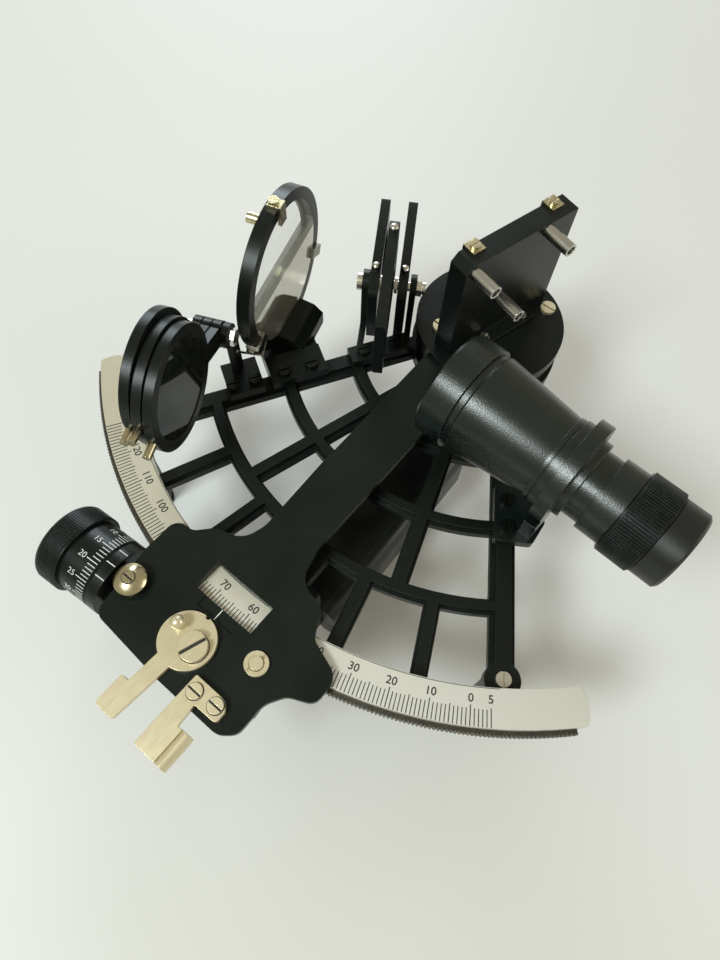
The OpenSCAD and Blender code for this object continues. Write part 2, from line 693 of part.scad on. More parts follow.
// A mirror clip: a block over the ring's rim with a finger on its front, and its screw
clip_angles = [90, -27, 204];
clip_l = 4;
clip_w = 4.4;
clip_t = 1.5;
module rim_clip(angle) rotate([angle, 0, 0]) translate([ring_t / 2, ring_r + seat_gap, 0]) {
    translate([-clip_l, 0, -clip_w / 2]) cube([clip_l + clip_t, clip_t, clip_w]);
    translate([seat_gap, -ring_w - 2, -clip_w / 2]) cube([clip_t - seat_gap, ring_w + 2.5, clip_w]);
    translate([-clip_l / 2, clip_t, 0]) rotate([-90, 0, 0]) small_screw(0.8);
}
// Bends of the wire spring that holds the glass, from its front
spring_path = [[3.4, -22.5, -13], [3.4, -27.6, -19.6], [-3, -30.6, -17.6], [-3, -35.4, -10.8]];
stud_angles = [101, -55];
ring_stud_l = 4.5;
wire_r = 0.5;
module horizon_clips() color([0.75, 0.68, 0.48]) at_ring() {
    for (a = clip_angles) rim_clip(a);
    for (a = stud_angles) rotate([a, 0, 0]) translate([-ring_t / 2 - seat_gap, ring_r - 2.4, 0])
        rotate([0, -90, 0]) cylinder(r = 2.1, h = ring_stud_l);
    for (i = [0:len(spring_path) - 2]) wire(spring_path[i], spring_path[i + 1]);
}

// A straight stretch of spring wire with round ends
module wire(a, b) hull() {
    translate(a) sphere(r = wire_r, $fn = 16);
    translate(b) sphere(r = wire_r, $fn = 16);
}

// Index shades
module in_shade_frame() rotate([0, 0, index_pin_angle]) children();
module at_index_pin(s) in_shade_frame() translate([s, index_pin_t, index_pin_z]) children();
function shade_station(i) = index_shade_s + i * shade_pitch;
lug_t = 2.6;
lug_w = 10;
lug_left = shade_station(0) - shade_t / 2 - air_gap - lug_t;
lug_right = shade_station(2) + shade_t / 2 + air_gap + 0.6;
// The lugs' feet reach from the frame's bar out to the hinge: [station, inner end]
lug_feet = [[lug_left, -13.5], [lug_right, -9.5]];
lug_foot_t = 3.6;

module index_shade_bracket() color([0.05, 0.05, 0.05]) difference() {
    union() {
        on_bar(-1, 33, 13.2, frame_top) cube([26, 8, base_t]);
        in_shade_frame() for (f = lug_feet) {
            translate([f[0], f[1], frame_top]) cube([lug_t, index_pin_t + lug_w / 2 - f[1], lug_foot_t]);
            translate([f[0], index_pin_t - lug_w / 2, frame_top])
                cube([lug_t, lug_w, index_pin_z - frame_top]);
            translate([f[0], index_pin_t, index_pin_z]) rotate([0, 90, 0])
                cylinder(r = lug_w / 2, h = lug_t);
        }
    }
    at_index_pin(lug_left - 2) rotate([0, 90, 0]) cylinder(r = pin_r + seat_gap, h = 50);
    for (s = bracket_screw_spots) if (s[0] < 0 && s[1] < 60)
        on_bar(-1, s[1], s[2], frame_top + base_t) screw_hole(base_t + eps);
}

nut_r = 3.6;
nut_t = 2.2;
module index_shade_pin() color([0.72, 0.68, 0.52]) at_index_pin(0) rotate([0, 90, 0]) {
    translate([0, 0, lug_left - 2.2]) cylinder(r = pin_r, h = lug_right + lug_t + 5 - lug_left);
    translate([0, 0, lug_left - nut_t - seat_gap]) cylinder(r = nut_r, h = nut_t);
    translate([0, 0, lug_right + lug_t + seat_gap]) cylinder(r = nut_r, h = nut_t, $fn = 6);
    translate([0, 0, lug_right + lug_t + seat_gap + nut_t]) cylinder(r = nut_r - 1, h = 1.6);
}

module shade_tilt(i) rotate([i == 1 ? use_tilt : stow_tilt, 0, 0]) children();
shade_hole_r = 14;
shade_chamfer = 3;

// Finger pins on the two long edges of an index shade: [along the shade, across it, direction]
shade_pins = [[4, shade_side_gap, 0], [-4, shade_side_gap - shade_h, 180]];
shade_pin_r = 1.5;
shade_pin_l = 1.5;

module index_shade_frame(i) color([0.05, 0.05, 0.05]) at_index_pin(shade_station(i)) shade_tilt(i)
    difference() {
        union() {
            index_shade_plate();
            for (p = shade_pins) translate([0, p[0], p[1]]) rotate([p[2], 0, 0])
                translate([0, 0, -1]) cylinder(r = shade_pin_r, h = shade_pin_l + 1);
        }
        translate([-shade_t, 0, 0]) rotate([0, 90, 0]) cylinder(r = pin_r + run_gap, h = 2 * shade_t);
        shade_glass_place() {
            translate([0, 0, -shade_t]) cylinder(r = shade_hole_r - 1, h = 2 * shade_t);
            translate([0, 0, -shade_t / 2 + 1]) cylinder(r = shade_hole_r, h = shade_t);
        }
    }

module index_shade_plate() translate([-shade_t / 2, 0, 0]) rotate([90, 0, 90])
    linear_extrude(shade_t) polygon(rounded([[-shade_end_gap, shade_side_gap, shade_chamfer],
        [-shade_end_gap, shade_side_gap - shade_h, shade_chamfer],
        [shade_l - shade_end_gap, shade_side_gap - shade_h, 1],
        [shade_l - shade_end_gap, shade_side_gap, 1]]));

module shade_glass_place()
    translate([0, shade_l / 2 - shade_end_gap + 4, shade_side_gap - shade_h / 2]) rotate([0, 90, 0])
        children();

module index_shade_glass(i) color([0.1, 0.1, 0.12, 0.8]) at_index_pin(shade_station(i)) shade_tilt(i)
    shade_glass_place() translate([0, 0, -shade_t / 2 + 1 + seat_gap])
        cylinder(r = shade_hole_r - seat_gap, h = 2);

// Horizon shades
module at_horizon_pin() translate([horizon_pin_x, horizon_pin_y, horizon_pin_z])
    rotate([0, 0, horizon_pin_angle]) children();
post_t = 2.8;
post_w = 10;
post_inner = 0.5;
disc_gap = (disc_pitch - disc_shade_t) / 2 - seat_gap;
post_s = disc_steps[2] + disc_shade_t / 2 + 0.7;
post_foot_l = 15;
post_foot_w = 16;
post_foot_q = 97.5;

module horizon_shade_bracket() color([0.05, 0.05, 0.05]) difference() {
    union() {
        at_horizon_pin() {
            translate([post_s, 0, 0]) rotate([0, 90, 0]) cylinder(r = post_w / 2, h = post_t);
            translate([post_s, -post_inner, frame_top - horizon_pin_z])
                cube([post_t, post_inner + post_w / 2, horizon_pin_z - frame_top]);
        }
        on_bar(-1, post_foot_q, edge_offset - 4, frame_top) mirror([0, 1, 0])
            cube([post_foot_l, post_foot_w, base_t]);
    }
    at_horizon_pin() translate([post_s - 1, 0, 0]) rotate([0, 90, 0])
        cylinder(r = pin_r + seat_gap, h = post_t + 2);
    for (s = bracket_screw_spots) if (s[0] < 0 && s[1] > 95)
        on_bar(-1, s[1], s[2], frame_top + base_t) {
            screw_hole(base_t + eps);
            cylinder(r = screw_head_r + air_gap, h = screw_head_h + eps);
        }
}

pin_left = disc_steps[0] - disc_shade_t / 2 - 1.2;
module horizon_shade_pin() color([0.72, 0.68, 0.52]) at_horizon_pin() rotate([0, 90, 0]) {
    translate([0, 0, pin_left - 2]) cylinder(r = pin_r, h = post_s + post_t + 4 - pin_left);
    translate([0, 0, pin_left - nut_t + 0.8]) cylinder(r = nut_r, h = nut_t);
    translate([0, 0, post_s + post_t + seat_gap]) cylinder(r = nut_r, h = nut_t, $fn = 6);
}

module shade_washers() color([0.75, 0.72, 0.60]) {
    for (i = [0, 1]) at_index_pin(shade_station(i) + shade_t / 2 + air_gap) rotate([0, 90, 0])
        tube(nut_r, pin_r + seat_gap, shade_pitch - shade_t - 2 * air_gap);
    for (i = [0, 1]) at_horizon_pin() translate([disc_steps[i] + disc_shade_t / 2 + disc_gap, 0, 0])
        rotate([0, 90, 0]) tube(nut_r, pin_r + seat_gap, 2 * seat_gap);
    at_horizon_pin() translate([disc_steps[2] + disc_shade_t / 2 + air_gap, 0, 0])
        rotate([0, 90, 0]) tube(nut_r, pin_r + seat_gap, post_s - disc_steps[2] - disc_shade_t / 2
            - air_gap - seat_gap);
}

module on_disc_shade(i) at_horizon_pin() translate([disc_steps[i], 0, 0])
    rotate([disc_tilts[i], 0, 0]) children();
disc_hole_r = disc_shade_r - 4;

module horizon_shade_frame(i) color([0.05, 0.05, 0.05]) on_disc_shade(i) difference() {
    translate([-disc_shade_t / 2, 0, 0]) rotate([0, 90, 0]) union() {
        cylinder(r = 5.2, h = disc_shade_t);
        translate([-4.2, 0, 0]) cube([8.4, disc_arm - disc_hole_r, disc_shade_t]);
        translate([0, disc_arm, 0]) cylinder(r = disc_shade_r, h = disc_shade_t, $fn = 120);
    }
    translate([-disc_shade_t, 0, 0]) rotate([0, 90, 0]) cylinder(r = pin_r + run_gap, h = 2 * disc_shade_t);
    translate([0, disc_arm, 0]) rotate([0, 90, 0]) {
        translate([0, 0, -disc_shade_t]) cylinder(r = disc_hole_r - 1.4, h = 2 * disc_shade_t);
        translate([0, 0, -disc_shade_t / 2 + 1]) cylinder(r = disc_hole_r, h = disc_shade_t);
    }
}

module horizon_shade_glass(i) color([0.1, 0.12, 0.1, 0.8]) on_disc_shade(i)
    translate([-disc_shade_t / 2 + 1 + seat_gap, disc_arm, 0]) rotate([0, 90, 0])
        cylinder(r = disc_hole_r - seat_gap, h = 2, $fn = 96);

knob_pin_r = 1.6;
knob_pin_l = 5.5;
module horizon_shade_knob(i) color([0.75, 0.66, 0.42]) on_disc_shade(i)
    translate([0, disc_arm, 0]) rotate([disc_knob_angles[i], 0, 0])
        translate([0, disc_shade_r + seat_gap, 0]) rotate([-90, 0, 0])
            cylinder(r = knob_pin_r, h = knob_pin_l);

// Index arm. Its end outline is given as [x, distance inside (+) or outside (-) the limb's edge]
arm_outline = [[-arm_w / 2 - 0.2, 70, 0], [-arm_w / 2 + 1, 34, 10], [-arm_w / 2 - 1.5, 25, 9],
    [-23, 21.5, 6], [-28.5, 15.5, 5], [-36, 15.5, 4.5], [-36.1, 0, 0], [-32.2, -26.4, 4.2],
    [0, -28.3, 0], [27, -28.2, 6], [31.9, -24, 5], [31.9, -12, 8], [36, -5.5, 6],
    [44.8, -1.5, 4.5], [44.8, 9.5, 6], [30.5, 14.2, 5], [25.5, 24.2, 6], [13, 26.5, 9],
    [10.6, 40, 10], [arm_w / 2, 70, 0]];

spring_post_r = 1.4;
ring_nut_x = 21.6;
ring_nut_back = 4.1;
finger_spots = [[12.7, 23.1], [21, 22.1]];
// Relief under the plate for the worm's threads, wide enough for the carriage's swing
relief_out = 10.5;
relief_w = 15;
relief_d = 1.2;
disc_screw_spots = [[15.2, 20.9], [-20.5, 16], [-14, -16.5], [17.5, -18]];

module arm_plate() color([0.05, 0.08, 0.07]) in_arm() difference() {
    union() {
        translate([0, 0, arm_z]) cylinder(r = disc_r, h = arm_t, $fn = 120);
        translate([0, 0, arm_z]) linear_extrude(arm_t) union() {
            polygon(rounded([for (p = arm_outline) [p[0], p[1] - limb_r, p[2]]]));
            polygon([[-arm_w / 2, -20], [arm_w / 2, -20], [arm_w / 2, 65 - limb_r],
                [-arm_w / 2, 65 - limb_r]]);
        }
    }
    translate([0, 0, arm_z - eps]) cylinder(r = shaft_r + seat_gap, h = arm_t + 2 * eps);
    translate([-window_w / 2, -limb_r + 2, arm_z - eps]) cube([window_w, limb_w - 2, arm_t + 2 * eps]);
    translate([-notch_w / 2, -limb_r + 2 - notch_d, arm_top - 1]) cube([notch_w, notch_d + eps, 2]);
    for (p = disc_screw_spots) translate([p[0], p[1], arm_top]) screw_hole(arm_t + eps);
    for (p = finger_spots) translate([p[0], -limb_r - p[1], arm_top]) screw_hole(arm_t + eps);
    translate([lever_x, -limb_r - lever_back, arm_top]) screw_hole(arm_t + eps, lever_shank_r);
    translate([ring_nut_x, -limb_r - ring_nut_back, arm_top]) screw_hole(arm_t + eps, 2.4);
    translate([post_x, -limb_r - post_back - 1.1, arm_z - eps])
        cylinder(r = post_r + 2.2, h = arm_t + 2 * eps);
    carriage_pin_place() translate([0, 0, -eps]) cylinder(r = carriage_pin_r + seat_gap, h = arm_t + 2 * eps);
    rotate([0, 0, worm_turn]) translate([-worm_l / 2 - 2, -worm_dist - relief_out, arm_z - eps])
        cube([worm_l + 4, relief_w, relief_d + eps]);
}

// The carriage's hinge, in the arm's frame, at the underside of the arm's plate
module carriage_pin_place() rotate([0, 0, worm_turn])
    translate([carriage_pin_x, -worm_dist + carriage_pin_y, arm_z]) children();

module arm_disc() color([0.05, 0.06, 0.06]) in_arm() translate([0, 0, arm_top]) difference() {
    tube(disc_r, shaft_r + seat_gap, disc_t - seat_gap);
    for (p = disc_screw_spots) translate([p[0], p[1], disc_t]) screw_hole(disc_t + eps);
}

nut_low = bush_low - 7.5;
module pivot_shaft() color([0.7, 0.7, 0.7]) {
    translate([0, 0, bush_low - air_gap]) cylinder(r = shaft_r, h = disc_top - 2 * seat_gap - bush_low + air_gap);
    translate([0, 0, nut_low - 2]) cylinder(r = 4, h = bush_low - nut_low + 2);
}

module pivot_nut() color([0.72, 0.58, 0.30]) difference() {
    union() {
        translate([0, 0, nut_low]) cylinder(r = 7.5, h = 5, $fn = 6);
        translate([0, 0, nut_low + 5]) cylinder(r = 8.4, h = bush_low - nut_low - 5 - air_gap);
    }
    translate([0, 0, nut_low - eps]) cylinder(r = 4 + seat_gap, h = 10);
    translate([0, 0, bush_low - air_gap - seat_gap]) cylinder(r = shaft_r + seat_gap, h = 5);
}

// Index mirror, in its own frame: X along the plate, +Y is its front
module index_mirror_frame() color([0.05, 0.05, 0.05]) at_mirror() difference() {
    union() {
        translate([0, mirror_lead - mirror_t, 0]) rotate([90, 0, 0]) mirror([0, 0, 1])
            linear_extrude(mirror_t) polygon([[-mirror_w / 2, 0], [mirror_w / 2, 0],
                [mirror_w / 2, mirror_h], [-mirror_w / 2 + 3, mirror_h], [-mirror_w / 2, mirror_h - 3]]);
        translate([-15, mirror_lead - mirror_t - 6, 0]) cube([30, 6.5, 3]);
    }
    translate([-mirror_w / 2 + mirror_rim, mirror_lead - glass_t, mirror_rim + 1])
        cube([mirror_w - 2 * mirror_rim, mirror_t, mirror_h - 2 * mirror_rim - 1]);
    for (p = [-10, 10]) translate([p, mirror_lead - mirror_t - 3, 3]) screw_hole(4, small_r);
    for (x = clip_xs) translate([x, mirror_lead - mirror_clip_back, mirror_h]) screw_hole(3, small_r);
}

module index_mirror_glass() color([0.8, 0.82, 0.82]) at_mirror()
    translate([-mirror_w / 2 + mirror_rim + seat_gap, mirror_lead - glass_t + seat_gap, mirror_rim + 1 + seat_gap])
        cube([mirror_w - 2 * mirror_rim - 2 * seat_gap, glass_t - 0.4,
            mirror_h - 2 * mirror_rim - 1 - 2 * seat_gap]);

clip_xs = [-17.8, 19.5];
mirror_clip_back = 2.2;
module index_mirror_clips() color([0.78, 0.68, 0.42]) at_mirror() for (x = clip_xs) {
    translate([x - 2.8, mirror_lead - 4.8, mirror_h + seat_gap]) cube([5.6, 5.8, 1]);
    translate([x - 2.8, mirror_lead + seat_gap, mirror_h - 5]) cube([5.6, 1, 6 + seat_gap]);
    translate([x, mirror_lead - mirror_clip_back, mirror_h + 1 + seat_gap]) small_screw(3.5);
}

stud_spots = [[-22.2, 45.5, 11], [-8, 26, 13.7], [12, 46.3, 12]];
stud_r = 2.5;
module index_mirror_studs() color([0.7, 0.68, 0.6]) at_mirror() {
    for (s = stud_spots) translate([s[0], mirror_lead - mirror_t - seat_gap, s[1]]) rotate([90, 0, 0])
        difference() {
            cylinder(r = stud_r, h = s[2]);
            translate([0, 0, s[2] - 2]) cylinder(r = stud_r - 0.8, h = 3);
        }
    for (p = [-10, 10]) translate([p, mirror_lead - mirror_t - 3, 3]) small_screw(2.8);
}

finger_t = 2.4;
finger_z = arm_top + seat_gap;
module finger_piece() color([0.80, 0.74, 0.60]) in_arm() difference() {
    union() {
        translate([0, 0, finger_z]) linear_extrude(finger_t)
            polygon(rounded([for (p = [[9.4, -18.9, 0.6], [21.9, -18.9, 3], [24.7, -21.6, 2],
                [24.7, -25.3, 1.2], [23.4, -26, 0.6], [15.6, -26.1, 0.4], [16, -33.8, 0.3],
                [18, -33.8, 0.3], [18, -46, 0.3], [9.2, -46, 0.6], [9.2, -30, 0]])
                [p[0], p[1] - limb_r, p[2]]]));
        translate([20, -limb_r - 33.8, finger_z + finger_t - lip_r]) rotate([90, 0, 0])
            cylinder(r = lip_r, h = 12.2);
    }
    for (p = finger_spots) translate([p[0], -limb_r - p[1], finger_z + finger_t])
        screw_hole(finger_t + eps);
}
lip_r = 2.5;

module arm_screws() color([0.80, 0.74, 0.60]) in_arm() {
    for (p = finger_spots) translate([p[0], -limb_r - p[1], finger_z + finger_t + seat_gap])
        screw(2.7, 0.9, screw_r, finger_t + arm_t - 0.5, 0.7);
    for (p = disc_screw_spots) translate([p[0], p[1], disc_top])
        screw(3.2, 1.4, screw_r, disc_t + arm_t - 0.5, 0.9);
}

dome_r = 5.8;
dome_h = 3;
dome_z = 6.1;
dome_ball_r = 8.2;
module carriage_pivot() color([0.80, 0.72, 0.50]) in_arm() carriage_pin_place() {
    translate([0, 0, -2.8]) cylinder(r = carriage_pin_r, h = 2.8 + dome_z);
    translate([0, 0, arm_t + seat_gap]) cylinder(r = dome_r - 1, h = dome_z - arm_t);
    translate([0, 0, dome_z]) difference() {
        intersection() {
            cylinder(r = dome_r, h = dome_h);
            translate([0, 0, dome_h - dome_ball_r]) sphere(r = dome_ball_r);
        }
        translate([0, 0, dome_h - 0.6]) cylinder(r = 2.4, h = 1);
    }
    translate([0, 0, dome_z + dome_h - 0.7]) difference() {
        cylinder(r = 2.2, h = 0.7);
        translate([-3, -0.35, 0.35]) cube([6, 0.7, 1]);
    }
}

// Height of the shanks' lower ends over the arm's underside, clear of the worm when it swings out
shank_lift = 1;
lever_shank_r = 3.2;
lever_head_r = 5;
module lever_screw() color([0.80, 0.74, 0.60]) in_arm() translate([lever_x, -limb_r - lever_back, 0]) {
    translate([0, 0, arm_z + shank_lift])
        cylinder(r = lever_shank_r, h = lever_z + lever_t + 0.1 - arm_z - shank_lift);
    translate([0, 0, lever_z + lever_t + 0.1]) difference() {
        cylinder(r = lever_head_r, h = 2.6);
        rotate([0, 0, 70]) translate([-7, -0.6, 1.4]) cube([14, 1.2, 2]);
    }
}

module ring_nut() color([0.80, 0.74, 0.60]) in_arm()
    translate([ring_nut_x, -limb_r - ring_nut_back, 0]) {
        translate([0, 0, arm_z + shank_lift]) cylinder(r = 2.4, h = arm_t + 2.2 - shank_lift);
        translate([0, 0, arm_top + seat_gap]) difference() {
            tube(4.2, 2.6, 1.5);
            rotate([0, 0, 80]) translate([-5, -0.5, 0.7]) cube([10, 1, 2]);
        }
    }

// Return spring of the carriage: flat coils round a post under the arm's plate
spring_x = 14;
spring_y = -4.7;
spring_wire_r = 0.35;
module worm_spring() color([0.6, 0.6, 0.6]) in_arm() rotate([0, 0, worm_turn])
    translate([carriage_pin_x + spring_x, -worm_dist + spring_y, arm_z]) {
        translate([0, 0, -3]) cylinder(r = spring_post_r, h = 3 - seat_gap);
        for (k = [0:2]) translate([0, 0, -0.6 - k * 0.85]) rotate_extrude($fn = 48)
            translate([spring_post_r + spring_wire_r - 0.03, 0]) circle(r = spring_wire_r, $fn = 16);
    }

// Release lever
lever_head = 10;
module release_lever() color([0.80, 0.74, 0.60]) in_arm() translate([0, -limb_r, lever_z])
    difference() {
        union() {
            translate([lever_x - 3.5, -lever_back + 0.3, 0]) cylinder(r = lever_head, h = lever_t);
            linear_extrude(lever_t) polygon(rounded([[-5.2, -18, 0], [-6.2, -34.3, 0.8],
                [-9.2, -34.3, 0.4], [-9.4, -45.6, 1.2], [-1.4, -45.9, 1.2], [1.2, -18, 0]]));
            translate([-9.3, -34.3, -4]) mirror([0, 1, 0]) cube([1.6, 10.2, 4 + lever_t]);
            translate([post_x, -post_back, post_low - lever_z]) cylinder(r = post_r, h = lever_z - post_low + lever_t);
            translate([post_x, -post_back, 0]) cylinder(r = 2, h = 4.2);
            translate([post_x, -post_back, 5.4]) sphere(r = 2.5);
        }
        translate([lever_x, -lever_back, -eps]) cylinder(r = lever_shank_r + run_gap, h = lever_t + 2 * eps);
        translate([lever_x - 3.5, -lever_back + lever_head + 0.3, -eps])
            cylinder(r = 0.9, h = lever_t + 2 * eps);
    }

// Worm carriage: two bearing blocks joined by a wall outside the worm, and an eye for the
// release lever's post
eye_low = arm_z - 3.2;
eye_gap = 0.45;
module worm_carriage() color([0.05, 0.05, 0.05]) difference() {
    union() {
        at_worm() {
            translate([carriage_pin_x - 5, block_out, carriage_low - worm_z])
                cube([block_l, block_in - block_out, carriage_top - carriage_low]);
            translate([block_right - far_block_l, block_out, carriage_low - worm_z])
                cube([far_block_l, block_in - block_out, carriage_top - carriage_low]);
            translate([carriage_pin_x - 5, block_out, carriage_low - worm_z])
                cube([block_right - carriage_pin_x + 5, wall_t, carriage_top - carriage_low]);
            translate([collar_end - seat_gap, 0, 0]) rotate([0, 90, 0])
                cylinder(r = 5.4, h = carriage_pin_x - 5 - collar_end + 1);
        }
        in_arm() translate([post_x, -limb_r - post_back, eye_low]) rotate([0, 0, worm_turn])
            translate([-4.4, -8.6, 0]) cube([8.8, 12, carriage_top - eye_low]);
    }
    along_worm(collar_end - 2) cylinder(r = worm_shaft_r + run_gap, h = 100);
    in_arm() carriage_pin_place() translate([0, 0, -3]) cylinder(r = carriage_pin_r + run_gap, h = 6);
    in_arm() translate([post_x, -limb_r - post_back, eye_low - eps])
        cylinder(r = post_r + eye_gap, h = 10);
}

module index_collar() color([0.05, 0.05, 0.05]) along_worm(collar_end - index_collar_l - seat_gap)
    tube(index_collar_r, worm_shaft_r + run_gap, index_collar_l - seat_gap);

// Micrometer
worm_pitch = 2.2;
module worm_shaft() color([0.7, 0.7, 0.68]) {
    along_worm(knob_end - knob_l + 1) cylinder(r = worm_shaft_r, h = block_right - knob_end + knob_l);
    along_worm(-worm_l / 2) rotate_extrude() polygon(concat([[worm_shaft_r - 0.5, 0]],
        [for (i = [0:worm_l / worm_pitch - 1]) each [[worm_r - 0.8, i * worm_pitch + 0.1],
            [worm_r, (i + 0.35) * worm_pitch], [worm_r, (i + 0.65) * worm_pitch],
            [worm_r - 0.8, (i + 0.95) * worm_pitch]]],
        [[worm_r - 0.8, worm_l], [worm_shaft_r - 0.5, worm_l]]));
}

module micrometer_drum() color([0.05, 0.05, 0.05]) along_worm(drum_end - drum_l + seat_gap)
    difference() {
        union() {
            cylinder(r = drum_r, h = drum_l - 1 - seat_gap);
            translate([0, 0, drum_l - 1 - seat_gap]) cylinder(r1 = drum_r, r2 = drum_r - 0.6, h = 1);
        }
        translate([0, 0, -eps]) cylinder(r = worm_shaft_r + seat_gap, h = drum_l + 2 * eps);
    }

module micrometer_knob() color([0.05, 0.05, 0.05]) along_worm(knob_end - knob_l) difference() {
    rotate_extrude($fn = 96) polygon(rounded([[0, 0, 0], [knob_r, 0, 2.2], [knob_r, knob_l, 0.6],
        [0, knob_l, 0]]));
    translate([0, 0, 1]) cylinder(r = worm_shaft_r + seat_gap, h = knob_l);
}

frame_casting();
limb_arc();
limb_rack();
pivot_bush();
pivot_leg();
arc_legs();
handle_grip();
handle_brackets();
frame_screws();
telescope_bracket();
telescope_tube();
objective_cell();
objective_lens();
horizon_bracket();
horizon_ring();
horizon_glass();
horizon_clips();
index_shade_bracket();
index_shade_pin();
horizon_shade_bracket();
horizon_shade_pin();
shade_washers();
arm_plate();
arm_disc();
pivot_shaft();
pivot_nut();
index_mirror_frame();
index_mirror_glass();
index_mirror_clips();
index_mirror_studs();
finger_piece();
arm_screws();
carriage_pivot();
lever_screw();
ring_nut();
worm_spring();
release_lever();
worm_carriage();
index_collar();
worm_shaft();
micrometer_drum();
micrometer_knob();
focus_ring();
eyepiece();
eye_lens();
index_shade_frame(0);  // index_shade_1
index_shade_frame(1);  // index_shade_2
index_shade_frame(2);  // index_shade_3
index_shade_glass(0);  // index_shade_glass_1
index_shade_glass(1);  // index_shade_glass_2
index_shade_glass(2);  // index_shade_glass_3
horizon_shade_frame(0);  // horizon_shade_1
horizon_shade_frame(1);  // horizon_shade_2
horizon_shade_frame(2);  // horizon_shade_3
horizon_shade_glass(0);  // horizon_shade_glass_1
horizon_shade_glass(1);  // horizon_shade_glass_2
horizon_shade_glass(2);  // horizon_shade_glass_3
horizon_shade_knob(0);  // horizon_shade_knob_1
horizon_shade_knob(1);  // horizon_shade_knob_2
horizon_shade_knob(2);  // horizon_shade_knob_3
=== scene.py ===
# Looks of the sextant: finishes, engraved scales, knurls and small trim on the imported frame.
# Pieces are sized in millimetres, finishes, camera and lamps in metres, and angles are in degrees.
import math
import bmesh
import bpy
from mathutils import Matrix, Vector


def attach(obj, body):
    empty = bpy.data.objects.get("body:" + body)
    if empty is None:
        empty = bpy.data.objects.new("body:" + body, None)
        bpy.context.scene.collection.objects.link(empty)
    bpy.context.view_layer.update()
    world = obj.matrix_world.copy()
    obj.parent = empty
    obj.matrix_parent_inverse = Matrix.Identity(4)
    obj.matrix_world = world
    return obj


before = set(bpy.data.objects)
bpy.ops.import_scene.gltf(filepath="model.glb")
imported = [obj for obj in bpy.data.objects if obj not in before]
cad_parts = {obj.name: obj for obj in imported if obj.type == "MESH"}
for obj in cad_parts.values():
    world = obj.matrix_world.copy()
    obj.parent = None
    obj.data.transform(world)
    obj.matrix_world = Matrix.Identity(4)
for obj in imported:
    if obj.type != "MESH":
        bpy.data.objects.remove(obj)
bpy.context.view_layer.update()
scene = bpy.context.scene
MM = 0.001

# Sizes and places shared with the solids
LIMB_TOP = 75.0
ZERO_ANGLE = -58.75
ARM_TURN = -1.4
ARM_TOP = 78.5
DISC_TOP = 80.5
FINGER_TOP = 80.95
LEVER_TOP = 80.8
DOME_TOP = 84.25
WORM_TURN = 4.4
WORM_DIST = 171.3
WORM_Z = 69.5
DRUM_R = 13.9
DRUM_END = -54.4
COLLAR_START = -54.1
KNOB_R = 15.4
KNOB_START = -78.3
KNOB_END = -67.8
RING_Z = 99.6
SHADE_PIN_TURN = 30.7
SHADE_PIN_SIDE = 4.7
SHADE_PIN_Z = 89.9
FIRST_SHADE = -49.9
SHADE_PITCH = 5.9
SHADE_TILTS = {1: 5.7, 2: 185.0, 3: 5.7}

# Places of screws: the first three in the arm's own frame, the last two in the shared one
FINGER_SCREWS = ((12.7, -185.1), (21.0, -184.1))
DISC_SCREWS = ((15.2, 20.9), (-20.5, 16.0), (-14.0, -16.5), (17.5, -18.0))
LEVER_SPOT = (2.5, -175.5)
DOME_SPOT = (-34.59, -172.2)
LEG_SCREW = (85.3, -117.0)

# How the drum stands in the photograph
DRUM_READING = 18.0
INDEX_LINE_ANGLE = 84.6

# Where a finish changes, in metres: above the horizon glass's middle, and above the table
BAND_TOP = 0.0045
CLIP_CHANGE = 0.1075

# Sockets of Blender's nodes that are found by number
OBJECT_PLACE = 3
SHADING_NORMAL = 1
VECTOR_VALUE = 1
MIX_SHARE = 0
MIX_LOW = 6
MIX_HIGH = 7
MIX_RESULT = 2

# Sizes that finishes share, in metres, and how strongly the paler edges show, as worn paint and painted
# highlight
LINE_DEPTH = 0.00002
FINE_EDGE = 0.00025
WORN_HIGHLIT_EDGE_REACH = 0.00045
EDGE_WEAR_AND_HIGHLIGHT = 0.5
# How far two normals agree on flat ground and on an edge
FLAT_MATCH = 0.995
EDGE_MATCH = 0.86


# Node values and finishes

class Level:
    """One value in a finish: a socket of its node tree, with arithmetic on it."""

    def __init__(self, finish, socket):
        self.finish = finish
        self.socket = socket

    def __add__(self, other):
        return self.finish.maths("ADD", self, other)

    def __sub__(self, other):
        return self.finish.maths("SUBTRACT", self, other)

    def __rsub__(self, other):
        return self.finish.maths("SUBTRACT", other, self)

    def __mul__(self, other):
        return self.finish.maths("MULTIPLY", self, other)


